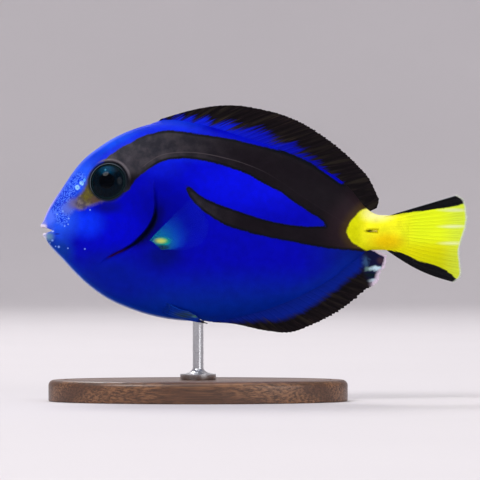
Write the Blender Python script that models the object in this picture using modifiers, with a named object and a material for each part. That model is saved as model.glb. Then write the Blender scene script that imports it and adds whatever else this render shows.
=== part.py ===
"""A regal blue tang (Paracanthurus hepatus), life size, swimming level on a plain display stand.

Metres, +Z up. The fish faces -X and its left side faces -Y. The origin is the centre of the stand's
underside, under the rod. Places on the fish are first given from the tip of the snout: back along X, and
up from the mouth.
"""

import math

import bmesh
import bpy
import numpy as np
from mathutils import Matrix, Vector

MM = 0.001
GAP = 0.3 * MM

TOTAL_LENGTH = 120 * MM
MOUTH_HEIGHT = 48 * MM
ROD_FROM_SNOUT = 44 * MM


def scaled(*sizes):
    """Sizes or points given in millimetres for a fish 120 mm long, as metres at this fish's length."""
    made = np.array(sizes, float) * (TOTAL_LENGTH / 120)
    return float(made[0]) if made.shape == (1,) else made


# Side outline of the body without its fins: distance from the snout, then height from the mouth.
BACK_LINE = scaled(
    (-0.6, 0.9), (0.2, 2.0), (1.4, 4.7), (5.9, 11.8), (10.4, 18.2), (17.2, 23.9), (26.2, 28.4), (36, 30.4),
    (44.8, 29.2), (56.1, 25.9), (67.3, 22.1), (78.6, 16.9), (86, 11.8), (91, 6.3), (94, 4.4), (96.5, 4.1),
    (101, 4.6),
)
BELLY_LINE = scaled(
    (-0.6, -1.1), (0.4, -1.8), (2, -3.3), (5.9, -8), (10.4, -13), (17, -18.3), (26, -22.5), (36, -25),
    (44, -25.5), (52, -24.6), (61.7, -22.3), (73, -17.9), (82, -12.8), (88, -8.1), (91.4, -5.9),
    (94.4, -5.6), (101, -6.4),
)
# Half of the body's width, as seen from above.
HALF_WIDTH = scaled(
    (-0.6, 0.8), (0.3, 1.4), (2, 2.1), (5, 3.1), (10, 4.7), (16, 6.2), (22, 7.3), (30, 8.3), (38, 8.6),
    (50, 8.2), (62, 7.1), (74, 5.4), (84, 3.8), (92, 2.5), (101, 1.5),
)
BODY_FRONT, BODY_BACK = scaled(-0.6, 100)
WIDEST_SHARE = 0.54
SECTION_POWER = 1.06
BODY_SIDES = 32
BODY_RINGS = 46

# The free edge of the gill cover: height from the mouth, then distance from the snout.
GILL_EDGE = scaled(
    (-32, 6), (-19, 9.8), (-14.6, 12.1), (-10.7, 15.2), (-7.3, 19.4), (-5.1, 23.6), (-2, 27.6), (0.6, 29.9),
    (3.4, 31.4), (9.9, 31.8), (19.7, 31.2), (29.9, 30.6), (40, 30),
)
GILL_LIFT, GILL_LIFT_RUN = scaled(0.7, 7)
GILL_LIFT_LOW, GILL_LIFT_HIGH = scaled(-17, 15)
# The front edge of the tail stalk, in the same form. It ends at a flat across the body.
STALK_EDGE = scaled((-10, 96), (-6, 93.2), (-3.2, 88.9), (-0.6, 86.4), (2, 86.9), (5.3, 90.4), (9, 94))
STALK_END = scaled(97.5)
# Blocks that part the body reach this far, well past the skin.
REGION_FRONT, REGION_HALF_WIDTH = scaled(-12, 14)
REGION_HEIGHTS = scaled(-32, 40)
REGION_STEPS = 40

EYE_PLACE = scaled(18.9, 13.5)
EYE_RADIUS, EYE_DEPTH, EYE_PROUD = scaled(5.35, 3.3, 1.5)
EYE_RIM_RADIUS, EYE_RIM_THICKNESS = scaled(5.25, 0.6)
EYE_SIDES, EYE_RINGS = 28, 14
NOSTRIL_PLACES = scaled((10.3, 11.9), (11.9, 13.5))
NOSTRIL_RIM_RADIUS, NOSTRIL_RADIUS, NOSTRIL_PROUD, NOSTRIL_DEEP = scaled(0.7, 0.38, 0.25, 0.9)
MOUTH_CORNER = scaled(3.9, -0.35)
MOUTH_UPPER, MOUTH_LOWER = scaled(0.75, -1.25)
LIP_RADIUS = scaled(0.55)
UPPER_LIP = scaled((3.5, 2.45, 0.25), (1.6, 2.05, 0.95), (0.3, 1.1, 1.3), (0.0, 0, 1.35))
LOWER_LIP = scaled((3.5, 2.45, -0.9), (1.8, 2.05, -1.65), (0.8, 1.1, -1.95), (0.55, 0, -2.0))

SPINE_LENGTH, SPINE_RADIUS = scaled(2.6, 0.42)
SPINE_PLACE = scaled(92.9, -0.3)
SLOT_MARGIN = 0.32 * MM
SLOT_DEPTH = scaled(1.1)

DORSAL_RAYS, ANAL_RAYS, CAUDAL_RAYS, PECTORAL_RAYS, PELVIC_RAYS = 28, 21, 16, 13, 4
MEMBRANE = 0.5 * MM
ROOT_SINK = scaled(1.0)
# Share of the way along the fin's root, then the ray tip's distance from the snout and its height.
DORSAL_ROOT = scaled(31.6, 90.6)
DORSAL_MARGIN = (
    (0, 34.2, 31.4), (0.06, 38.4, 33.0), (0.14, 44.2, 34.3), (0.24, 51.5, 35.1), (0.36, 60, 34.4),
    (0.5, 69.5, 31.5), (0.64, 78.4, 26.9), (0.76, 85.2, 21.8), (0.86, 90.2, 16.9), (0.93, 93.2, 12.2),
    (0.97, 94.5, 9.2), (1, 94.5, 6.7),
)
ANAL_ROOT = scaled(46.2, 90.6)
ANAL_MARGIN = (
    (0, 48.2, -25.7), (0.08, 53, -26.2), (0.2, 59.4, -27.5), (0.32, 66, -28.6), (0.46, 73.8, -27.2),
    (0.6, 80.5, -23.9), (0.74, 87, -19.7), (0.86, 92.4, -15.2), (0.94, 96.0, -11.6), (1, 96.6, -7.8),
)
CAUDAL_ROOT = scaled(4.1, -5.8)
CAUDAL_MARGIN = (
    (0, 116.8, 9.9), (0.07, 118.8, 8.6), (0.16, 119.6, 5.4), (0.34, 119.5, 1.2), (0.5, 118.4, -2.4),
    (0.66, 117.5, -6.0), (0.82, 117.9, -10.0), (0.93, 117.8, -13.2), (1, 116.0, -14.7),
)
PECTORAL_ROOT = scaled((30.2, -3.2), (33.4, -5.3))
PECTORAL_MARGIN = (
    (0, 42, 8.5), (0.15, 44.3, 7.2), (0.35, 46.4, 4.2), (0.6, 47.2, -0.2), (0.8, 45.4, -3.6), (1, 41, -5.6),
)
PECTORAL_SPREAD = math.radians(36)
CAUDAL_BOW, PECTORAL_BOW, PELVIC_BOW = scaled(1.35, 1.2, 0.7)
# The belly fins' points also give how far out from the middle plane each one is.
PELVIC_ROOT = ((0, 31.2, -21.5, 2.2), (1, 34.2, -19.4, 3.8))
PELVIC_MARGIN = (
    (0, 46.7, -26.2, 2.7), (0.4, 45.4, -25.3, 3.2), (0.75, 43.6, -23.9, 3.9), (1, 41.5, -22.7, 4.4),
)

BASE_LENGTH, BASE_WIDTH, BASE_THICKNESS, BASE_ROUNDING = 84 * MM, 46 * MM, 6 * MM, 1.6 * MM
ROD_RADIUS, ROD_FOOT_RADIUS, ROD_FOOT_HEIGHT = 1.5 * MM, 5 * MM, 1.6 * MM
ROD_IN_BODY = 6 * MM


def smooth(points):
    """A smooth curve through the points, as a function of their first number."""
    where, value = np.array(points, float).T
    slope = np.gradient(value, where)

    def read(at):
        at = min(max(at, where[0]), where[-1])
        i = min(int(np.searchsorted(where, at, side="right")) - 1, len(where) - 2)
        step = where[i + 1] - where[i]
        t = (at - where[i]) / step
        start = (1 + 2 * t) * (1 - t) ** 2 * value[i] + t * (1 - t) ** 2 * step * slope[i]
        end = t * t * (3 - 2 * t) * value[i + 1] + t * t * (t - 1) * step * slope[i + 1]
        return start + end

    return read


back_line = smooth(BACK_LINE)
belly_line = smooth(BELLY_LINE)
half_width = smooth(HALF_WIDTH)
gill_edge = smooth(GILL_EDGE)
stalk_edge = smooth(STALK_EDGE)


def ease(share):
    """0 before 0, 1 after 1, and a smooth rise between."""
    share = min(max(share, 0.0), 1.0)
    return share * share * (3 - 2 * share)


def place(from_snout, out, up):
    """A place on the fish in the model's frame."""
    return Vector((from_snout - ROD_FROM_SNOUT, out, up + MOUTH_HEIGHT))


def gill_lift(x, z):
    """How far the gill cover stands proud near its free edge."""
    near_edge = ease((x - gill_edge(z)) / GILL_LIFT_RUN + 1)
    in_height = ease((z - GILL_LIFT_LOW) / GILL_LIFT_RUN) * ease((GILL_LIFT_HIGH - z) / GILL_LIFT_RUN)
    return GILL_LIFT * near_edge * in_height


def section(x, grow=0.0):
    """The top, widest level, bottom and half width of the body's cross-section."""
    top, bottom = back_line(x) + grow, belly_line(x) - grow
    return top, bottom + WIDEST_SHARE * (top - bottom), bottom, half_width(x) + grow


def body_point(x, angle, grow=0.0, gills=False):
    """A point of the body's surface, with the angle turned from the back."""
    top, middle, bottom, width = section(x, grow)
    reach = top - middle if math.cos(angle) > 0 else middle - bottom
    z = middle + reach * math.cos(angle)
    y = width * math.copysign(abs(math.sin(angle)) ** SECTION_POWER, math.sin(angle))
    if gills:
        y += gill_lift(x, z) * math.sin(angle)
    return place(x, y, z)


def side_of(x, z):
    """How far the body's side is from the middle plane, at a distance from the snout and a height."""
    top, middle, bottom, width = section(x)
    share = (z - middle) / (top - middle if z > middle else middle - bottom)
    return width * max(1 - share * share, 0.0) ** (SECTION_POWER / 2)


def side_normal(x, z, side):
    """The direction in which the body's surface faces there, on the side with this sign of Y."""
    step = 0.2 * MM
    slope_x = (side_of(x + step, z) - side_of(x - step, z)) / (2 * step)
    slope_z = (side_of(x, z + step) - side_of(x, z - step)) / (2 * step)
    return Vector((-slope_x, side, -slope_z)).normalized()


def new_collection(name):
    made = bpy.data.collections.new(name)
    bpy.context.scene.collection.children.link(made)
    return made


def move_to(obj, collection):
    for held in list(obj.users_collection):
        held.objects.unlink(obj)
    collection.objects.link(obj)


def finish_part(obj, name, colour, roughness, metallic=0.0):
    """Names a part, gives it its own material and puts it with the others."""
    obj.name = obj.data.name = name
    material = bpy.data.materials.new(name)
    material.use_nodes = True
    surface = material.node_tree.nodes["Principled BSDF"]
    surface.inputs["Base Color"].default_value = (*colour, 1)
    surface.inputs["Roughness"].default_value = roughness
    surface.inputs["Metallic"].default_value = metallic
    obj.data.materials.clear()
    obj.data.materials.append(material)
    move_to(obj, parts)
    return obj


def as_cutter(obj, name):
    """Sets a shape aside as a cutter, which isn't part of the fish."""
    obj.name = name
    obj.hide_render = True
    obj.display_type = "WIRE"
    move_to(obj, cutters)
    return obj


def apply_modifiers(obj):
    evaluated = obj.evaluated_get(bpy.context.evaluated_depsgraph_get())
    obj.data = bpy.data.meshes.new_from_object(evaluated)
    obj.modifiers.clear()
    return obj


def as_mesh(curve):
    """The curve's shape as a closed mesh object in its place."""
    mesh = bpy.data.meshes.new_from_object(curve.evaluated_get(bpy.context.evaluated_depsgraph_get()))
    made = bpy.data.objects.new(curve.name, mesh)
    made.matrix_world = curve.matrix_world
    bpy.context.scene.collection.objects.link(made)
    shape = bmesh.new()
    shape.from_mesh(mesh)
    bmesh.ops.remove_doubles(shape, verts=shape.verts, dist=0.001 * MM)
    bmesh.ops.recalc_face_normals(shape, faces=shape.faces)
    shape.to_mesh(mesh)
    shape.free()
    bpy.data.objects.remove(curve)
    return made


def boolean(obj, other, operation):
    """Cuts obj by one object, or joins it with a collection's objects, which are then removed."""
    modifier = obj.modifiers.new(operation.lower(), "BOOLEAN")
    modifier.operation = operation
    if isinstance(other, bpy.types.Collection):
        modifier.operand_type = "COLLECTION"
        modifier.collection = other
    else:
        modifier.object = other
    apply_modifiers(obj)
    if isinstance(other, bpy.types.Collection):
        for piece in list(other.objects):
            bpy.data.objects.remove(piece)
        bpy.data.collections.remove(other)
    return obj


def keep_largest(obj):
    """Keeps the object's largest closed surface."""
    shape = bmesh.new()
    shape.from_mesh(obj.data)
    left = set(shape.verts)
    groups = []
    while left:
        group, edge = set(), [left.pop()]
        while edge:
            vertex = edge.pop()
            group.add(vertex)
            near = {e.other_vert(vertex) for e in vertex.link_edges} & left
            left -= near
            edge.extend(near)
        groups.append(group)
    groups.sort(key=len)
    bmesh.ops.delete(shape, geom=[v for group in groups[:-1] for v in group], context="VERTS")
    shape.to_mesh(obj.data)
    shape.free()
    return obj


def sphere(radii, middle, direction, segments, rings):
    """An ellipsoid whose third radius lies along the direction."""
    bpy.ops.mesh.primitive_uv_sphere_add(segments=segments, ring_count=rings, radius=1)
    made = bpy.context.object
    turn = direction.to_track_quat("Z", "Y").to_matrix().to_4x4()
    made.data.transform(Matrix.Translation(middle) @ turn @ Matrix.Diagonal((*radii, 1)))
    return made


def cylinder(radius, start, end, sides):
    """A cylinder from one point to another."""
    bpy.ops.mesh.primitive_cylinder_add(vertices=sides, radius=radius, depth=(end - start).length)
    made = bpy.context.object
    turn = (end - start).to_track_quat("Z", "Y").to_matrix().to_4x4()
    made.data.transform(Matrix.Translation((start + end) / 2) @ turn)
    return made


def box(low, high):
    bpy.ops.mesh.primitive_cube_add(size=1)
    made = bpy.context.object
    size = high - low
    made.data.transform(Matrix.Translation((low + high) / 2) @ Matrix.Diagonal((*size, 1)))
    return made


def prism(outline, half_thickness):
    """A plate of this side outline, across the middle plane."""
    curve = bpy.data.curves.new("outline", "CURVE")
    curve.dimensions = "2D"
    curve.fill_mode = "BOTH"
    curve.extrude = half_thickness
    line = curve.splines.new("POLY")
    line.points.add(len(outline) - 1)
    for point, (x, z) in zip(line.points, outline):
        at = place(x, 0, z)
        point.co = (at.x, at.z, 0, 1)
    line.use_cyclic_u = True
    made = bpy.data.objects.new("outline", curve)
    made.matrix_world = Matrix.Rotation(math.pi / 2, 4, "X")
    bpy.context.scene.collection.objects.link(made)
    bpy.context.view_layer.update()
    return as_mesh(made)


def tube(points, radius, steps=18):
    """A round tube on a smooth line through points given from the corner of the mouth to the middle plane."""
    line = np.array([*points, *(points[-2::-1] * (1, -1, 1))])
    along = np.linspace(0, 1, len(line))
    read = [smooth(np.column_stack((along, line[:, axis]))) for axis in range(3)]
    curve = bpy.data.curves.new("tube", "CURVE")
    curve.dimensions = "3D"
    curve.bevel_depth = radius
    curve.bevel_resolution = 1
    curve.use_fill_caps = True
    spline = curve.splines.new("POLY")
    spline.points.add(steps)
    for i, point in enumerate(spline.points):
        share = i / steps
        point.co = (*place(*(axis(share) for axis in read)), 1)
        point.radius = 0.7 + 0.3 * math.sin(math.pi * share)
    made = bpy.data.objects.new("tube", curve)
    bpy.context.scene.collection.objects.link(made)
    bpy.context.view_layer.update()
    return as_mesh(made)


def body_solid(grow=0.0, gills=False):
    """The whole body, shaped from a sphere whose poles are the snout and the root of the tail."""
    bpy.ops.mesh.primitive_uv_sphere_add(segments=BODY_SIDES, ring_count=BODY_RINGS, radius=1)
    made = bpy.context.object
    for vertex in made.data.vertices:
        share = math.acos(min(max(vertex.co.z, -1.0), 1.0)) / math.pi
        even_and_rounded = (share + (1 - math.cos(math.pi * share)) / 2) / 2
        x = BODY_FRONT - grow + (BODY_BACK - BODY_FRONT + 2 * grow) * even_and_rounded
        angle = math.atan2(vertex.co.y, vertex.co.x)
        if share in (0.0, 1.0):
            vertex.co = place(x, 0, section(x)[1])
        else:
            vertex.co = body_point(x, angle, grow, gills)
    return made


def region_in_front(edge, shift):
    """A block that holds all of the body in front of an edge line, which is first moved back by shift."""
    step = 0.1 * MM
    outline = []
    for height in np.linspace(*REGION_HEIGHTS, REGION_STEPS):
        slope = (edge(height + step) - edge(height - step)) / (2 * step)
        run = shift / math.hypot(1, slope)
        outline.append((edge(height) + run, height - slope * run))
    top, bottom = outline[-1][1], outline[0][1]
    return prism([*outline, (REGION_FRONT, top), (REGION_FRONT, bottom)], REGION_HALF_WIDTH)


def add_mouth(head):
    """Rounds the lips on and opens the mouth between them."""
    lips = new_collection("lips")
    for line in (UPPER_LIP, LOWER_LIP):
        move_to(tube(line, LIP_RADIUS), lips)
    boolean(head, lips, "UNION")
    corner_x, corner_z = MOUTH_CORNER
    front, corner_half = scaled(-2), scaled(0.12)
    opening = [(front, MOUTH_UPPER), (corner_x, corner_z + corner_half), (corner_x, corner_z - corner_half),
               (front, MOUTH_LOWER)]
    boolean(head, as_cutter(prism(opening, scaled(5)), "mouth_cutter"), "DIFFERENCE")


def add_nostrils(head, side):
    """Two short raised tubes with open pits, between the eye and the snout."""
    rims = new_collection("nostril_rims")
    pits = []
    for x, z in NOSTRIL_PLACES:
        normal = side_normal(x, z, side)
        skin = place(x, side * side_of(x, z), z)
        root, tip = skin - normal * NOSTRIL_DEEP, skin + normal * NOSTRIL_PROUD
        move_to(cylinder(NOSTRIL_RIM_RADIUS, root, tip, 12), rims)
        floor, above = skin - normal * NOSTRIL_DEEP / 2, skin + normal * NOSTRIL_DEEP
        pits.append(cylinder(NOSTRIL_RADIUS, floor, above, 10))
    boolean(head, rims, "UNION")
    for pit in pits:
        boolean(head, as_cutter(pit, "nostril_cutter"), "DIFFERENCE")


def eye_frame(side):
    """The eye's middle and the way it looks."""
    x, z = EYE_PLACE
    normal = side_normal(x, z, side)
    return place(x, side * side_of(x, z), z) - normal * (EYE_DEPTH - EYE_PROUD), normal


def add_eye_socket(head, side):
    """A raised rim of skin round the eye, and the socket that the eye sits in."""
    middle, normal = eye_frame(side)
    rim_level = middle + normal * (EYE_DEPTH - EYE_PROUD)
    bpy.ops.mesh.primitive_torus_add(
        major_radius=EYE_RIM_RADIUS, minor_radius=EYE_RIM_THICKNESS, major_segments=EYE_SIDES, minor_segments=8
    )
    rim = bpy.context.object
    turn = normal.to_track_quat("Z", "Y").to_matrix().to_4x4()
    rim.data.transform(Matrix.Translation(rim_level) @ turn)
    rims = new_collection("eye_rims")
    move_to(rim, rims)
    boolean(head, rims, "UNION")
    radii = (EYE_RADIUS + GAP, EYE_RADIUS + GAP, EYE_DEPTH + GAP)
    socket = sphere(radii, middle, normal, EYE_SIDES, EYE_RINGS)
    boolean(head, as_cutter(socket, "socket_cutter"), "DIFFERENCE")


def make_head():
    """Snout, cheek and gill covers in one piece, back to the gill covers' free edge."""
    head = body_solid(gills=True)
    boolean(head, as_cutter(region_in_front(gill_edge, -GAP / 2), "head_cutter"), "INTERSECT")
    add_mouth(head)
    for side in (-1, 1):
        add_nostrils(head, side)
        add_eye_socket(head, side)
    keep_largest(head)
    return finish_part(head, "head", (0.01, 0.05, 0.75), 0.42)


def make_torso():
    """The trunk, from the gill covers to the tail stalk, with the hole that takes the stand's rod."""
    torso = body_solid()
    boolean(torso, as_cutter(region_in_front(gill_edge, GAP / 2), "gill_cutter"), "DIFFERENCE")
    boolean(torso, as_cutter(region_in_front(stalk_edge, -GAP / 2), "torso_cutter"), "INTERSECT")
    hole_start = place(ROD_FROM_SNOUT, 0, -scaled(30))
    hole_end = place(ROD_FROM_SNOUT, 0, belly_line(ROD_FROM_SNOUT) + ROD_IN_BODY + GAP)
    hole = cylinder(ROD_RADIUS + GAP, hole_start, hole_end, 20)
    boolean(torso, as_cutter(hole, "rod_hole_cutter"), "DIFFERENCE")
    keep_largest(torso)
    return finish_part(torso, "torso", (0.005, 0.01, 0.6), 0.4)


def spine_frame(side):
    """The middle of the folded tail spine and the way the skin faces there."""
    x, z = SPINE_PLACE
    normal = side_normal(x, z, side)
    return place(x, side * side_of(x, z), z) - normal * SPINE_RADIUS * 0.6, normal


def make_tail_stalk():
    """The yellow stalk before the tail fin, with the slot that each tail spine folds into."""
    stalk = body_solid()
    boolean(stalk, as_cutter(region_in_front(stalk_edge, GAP / 2), "stalk_cutter"), "DIFFERENCE")
    low, high = REGION_HEIGHTS
    in_front = box(place(0, -REGION_HALF_WIDTH, low), place(STALK_END, REGION_HALF_WIDTH, high))
    boolean(stalk, as_cutter(in_front, "stalk_box"), "INTERSECT")
    for side in (-1, 1):
        middle, normal = spine_frame(side)
        half = Vector((SPINE_LENGTH / 2 + SLOT_MARGIN, SLOT_DEPTH, SPINE_RADIUS + SLOT_MARGIN))
        outward = Vector((0, side * (SLOT_DEPTH - SPINE_RADIUS - SLOT_MARGIN), 0))
        slot = box(middle + outward - half, middle + outward + half)
        boolean(stalk, as_cutter(slot, "slot_cutter"), "DIFFERENCE")
    keep_largest(stalk)
    return finish_part(stalk, "tail_stalk", (0.9, 0.85, 0.02), 0.4)


def make_tail_spine(name, side):
    """The sharp spine that lies folded along the tail stalk, its point forwards."""
    middle, normal = spine_frame(side)
    bpy.ops.mesh.primitive_cone_add(
        vertices=10, radius1=SPINE_RADIUS, radius2=SPINE_RADIUS * 0.12, depth=SPINE_LENGTH
    )
    spine = bpy.context.object
    turn = Vector((-1, 0, 0)).to_track_quat("Z", "Y").to_matrix().to_4x4()
    spine.data.transform(Matrix.Translation(middle) @ turn)
    return finish_part(spine, name, (0.85, 0.8, 0.6), 0.3)


def make_eye(name, side):
    """An eye, flattened like the real one."""
    middle, normal = eye_frame(side)
    eye = sphere((EYE_RADIUS, EYE_RADIUS, EYE_DEPTH), middle, normal, EYE_SIDES, EYE_RINGS)
    eye.data.shade_smooth()
    return finish_part(eye, name, (0.01, 0.02, 0.03), 0.05)


def straight(along):
    """The bow of a fin whose rays are straight."""
    return Vector((0, 0, 0))


def blade(root, margin, rays, rows, thickness, bow=straight, notch=0.02):
    """A fin from its root line to its margin. Each ray is a ridge on both faces, and the membrane between two
    rays ends a little short of their tips. thickness(share along the root, share along the ray, on a ray).
    bow(share along the root) is how far the middle of a ray is bent aside."""
    columns = 2 * rays - 2
    bpy.ops.mesh.primitive_grid_add(x_subdivisions=columns, y_subdivisions=rows, size=2)
    fin = bpy.context.object
    group = fin.vertex_groups.new(name="thickness")
    made = {}
    for vertex in fin.data.vertices:
        column = round((vertex.co.x + 1) / 2 * columns)
        along, out = column / columns, (vertex.co.y + 1) / 2
        on_ray = column % 2 == 0
        reach = out * (1 if on_ray else 1 - notch)
        vertex.co = root(along).lerp(margin(along), reach) + bow(along) * math.sin(math.pi * reach)
        made[vertex.index] = thickness(along, out, on_ray)
    thickest = max(made.values())
    for index, value in made.items():
        group.add([index], value / thickest, "REPLACE")
    fin.modifiers.new("triangles", "TRIANGULATE")
    shell = fin.modifiers.new("thickness", "SOLIDIFY")
    shell.thickness = thickest
    shell.offset = 0
    shell.vertex_group = group.name
    return apply_modifiers(fin)


def ray_thickness(root_extra, ridge):
    """Thickness of a fin whose rays stand proud by ridge, and whose fleshy root adds root_extra."""

    def at(along, out, on_ray):
        return MEMBRANE + root_extra * (1 - out) ** 3 + (ridge * (1 - 0.7 * out) if on_ray else 0)

    return at


def fin_line(points, side=0):
    """A line along a fin, as a function of the share along the root."""
    points = np.array(points, float) * (1, *[scaled(1)] * (len(points[0]) - 1))
    read = [smooth(points[:, [0, column]]) for column in range(1, points.shape[1])]
    out = read[2] if len(read) > 2 else lambda along: 0.0
    return lambda along: place(read[0](along), side * out(along), read[1](along))


def make_dorsal_fin():
    start, end = DORSAL_ROOT

    def root(along):
        x = start + (end - start) * along
        return place(x, 0, back_line(x) - ROOT_SINK)

    fin = blade(root, fin_line(DORSAL_MARGIN), DORSAL_RAYS, 6, ray_thickness(scaled(1.0), scaled(0.35)))
    boolean(fin, skin_clearance, "DIFFERENCE")
    return finish_part(keep_largest(fin), "dorsal_fin", (0.01, 0.01, 0.05), 0.5)


def make_anal_fin():
    start, end = ANAL_ROOT

    def root(along):
        x = start + (end - start) * along
        return place(x, 0, belly_line(x) + ROOT_SINK)

    fin = blade(root, fin_line(ANAL_MARGIN), ANAL_RAYS, 6, ray_thickness(scaled(1.0), scaled(0.35)))
    boolean(fin, skin_clearance, "DIFFERENCE")
    return finish_part(keep_largest(fin), "anal_fin", (0.01, 0.01, 0.05), 0.5)


def make_tail_fin():
    top, bottom = CAUDAL_ROOT

    def root(along):
        return place(STALK_END + GAP, 0, top + (bottom - top) * along)

    def thickness(along, out, on_ray):
        fleshy = scaled(0.9) + scaled(1.4) * math.sin(math.pi * along)
        return ray_thickness(fleshy, scaled(0.45))(along, out, on_ray)

    def bow(along):
        return Vector((0, 0, -CAUDAL_BOW * along * along))

    fin = blade(root, fin_line(CAUDAL_MARGIN), CAUDAL_RAYS, 8, thickness, bow)
    return finish_part(fin, "tail_fin", (0.9, 0.88, 0.02), 0.4)


def make_pectoral_fin(name, side):
    """A side fin, spread from the body just behind the gill cover."""
    (first_x, first_z), (last_x, last_z) = PECTORAL_ROOT

    def root(along):
        x, z = first_x + (last_x - first_x) * along, first_z + (last_z - first_z) * along
        return place(x, side * (side_of(x, z) - ROOT_SINK), z)

    flat = fin_line(PECTORAL_MARGIN)

    def margin(along):
        start, end = root(along), flat(along)
        reach = math.hypot(end.x - start.x, end.z - start.z)
        end.y = start.y + side * (ROOT_SINK + reach * math.tan(PECTORAL_SPREAD))
        return end

    def bow(along):
        return Vector((0, side * PECTORAL_BOW, 0))

    fin = blade(root, margin, PECTORAL_RAYS, 6, ray_thickness(scaled(0.6), scaled(0.25)), bow)
    boolean(fin, skin_clearance, "DIFFERENCE")
    return finish_part(keep_largest(fin), name, (0.05, 0.3, 0.7), 0.35)


def make_pelvic_fin(name, side):
    """A belly fin, folded back along the belly beside the middle plane."""
    def bow(along):
        return Vector((0, side * PELVIC_BOW, -PELVIC_BOW))

    root, margin = fin_line(PELVIC_ROOT, side), fin_line(PELVIC_MARGIN, side)
    fin = blade(root, margin, PELVIC_RAYS, 6, ray_thickness(scaled(0.4), scaled(0.3)), bow)
    boolean(fin, skin_clearance, "DIFFERENCE")
    return finish_part(keep_largest(fin), name, (0.01, 0.02, 0.1), 0.45)


def make_stand_base():
    """An oval plate with a rounded upper edge."""
    bpy.ops.mesh.primitive_cylinder_add(vertices=56, radius=1, depth=1)
    base = bpy.context.object
    size = Matrix.Diagonal((BASE_LENGTH / 2, BASE_WIDTH / 2, BASE_THICKNESS, 1))
    base.data.transform(Matrix.Translation((0, 0, BASE_THICKNESS / 2)) @ size)
    weight = base.data.attributes.new("bevel_weight_edge", "FLOAT", "EDGE")
    for edge in base.data.edges:
        if all(base.data.vertices[i].co.z > BASE_THICKNESS / 2 for i in edge.vertices):
            weight.data[edge.index].value = 1
    rounding = base.modifiers.new("rounding", "BEVEL")
    rounding.limit_method = "WEIGHT"
    rounding.width = BASE_ROUNDING
    rounding.segments = 4
    return finish_part(apply_modifiers(base), "stand_base", (0.6, 0.42, 0.26), 0.45)


def make_stand_rod():
    """A turned rod with a spreading foot, from the base up into the belly."""
    low = BASE_THICKNESS + GAP
    high = MOUTH_HEIGHT + belly_line(ROD_FROM_SNOUT) + ROD_IN_BODY
    sweep = [math.radians(90 * i / 5) for i in range(6)]
    foot_run = ROD_FOOT_RADIUS - ROD_RADIUS
    foot = [
        (ROD_RADIUS + foot_run * (1 - math.cos(a)), low + ROD_FOOT_HEIGHT + foot_run * 0.5 * (1 - math.sin(a)))
        for a in sweep
    ]
    profile = [(0, high), (ROD_RADIUS, high), *foot, (ROD_FOOT_RADIUS, low), (0, low)]
    mesh = bpy.data.meshes.new("rod")
    edges = [(i, i + 1) for i in range(len(profile) - 1)]
    mesh.from_pydata([(r, 0, z) for r, z in profile], edges, [])
    rod = bpy.data.objects.new("rod", mesh)
    bpy.context.scene.collection.objects.link(rod)
    turned = rod.modifiers.new("turned", "SCREW")
    turned.steps = turned.render_steps = 28
    turned.use_merge_vertices = True
    turned.merge_threshold = 0.01 * MM
    return finish_part(apply_modifiers(rod), "stand_rod", (0.6, 0.6, 0.62), 0.3, 1.0)


for old in list(bpy.data.objects):
    bpy.data.objects.remove(old)
parts = new_collection("regal_blue_tang")
cutters = new_collection("cutters")
skin_clearance = as_cutter(body_solid(grow=GAP), "skin_clearance")

make_head()
make_torso()
make_tail_stalk()
make_dorsal_fin()
make_anal_fin()
make_tail_fin()
for name, side in (("left", -1), ("right", 1)):
    make_eye(f"eye_{name}", side)
    make_pectoral_fin(f"pectoral_fin_{name}", side)
    make_pelvic_fin(f"pelvic_fin_{name}", side)
    make_tail_spine(f"tail_spine_{name}", side)
make_stand_base()
make_stand_rod()
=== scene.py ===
import math

import bpy
import numpy as np
from mathutils import Matrix, Vector


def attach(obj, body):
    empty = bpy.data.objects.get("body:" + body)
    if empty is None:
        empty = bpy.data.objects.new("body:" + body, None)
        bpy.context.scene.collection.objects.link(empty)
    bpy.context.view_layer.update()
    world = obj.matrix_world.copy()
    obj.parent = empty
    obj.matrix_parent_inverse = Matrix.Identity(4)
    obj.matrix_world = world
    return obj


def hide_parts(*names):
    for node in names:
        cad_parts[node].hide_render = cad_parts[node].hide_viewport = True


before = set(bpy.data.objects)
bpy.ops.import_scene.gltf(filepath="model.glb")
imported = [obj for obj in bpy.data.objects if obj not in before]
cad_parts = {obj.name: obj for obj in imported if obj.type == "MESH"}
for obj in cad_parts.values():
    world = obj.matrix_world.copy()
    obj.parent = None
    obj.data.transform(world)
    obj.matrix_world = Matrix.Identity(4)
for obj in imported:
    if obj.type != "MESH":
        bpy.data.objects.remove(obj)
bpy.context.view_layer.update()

# A regal blue tang as a life-size display model. Sizes on the fish are in millimetres for a fish 120 mm long:
# distance from the tip of the snout, out from the middle plane, and height from the mouth.
MM = 0.001
MOUTH_HEIGHT = 48
ROD_FROM_SNOUT = 44
FISH_IN_MODEL = np.array((-ROD_FROM_SNOUT, 0, MOUTH_HEIGHT))

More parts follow.
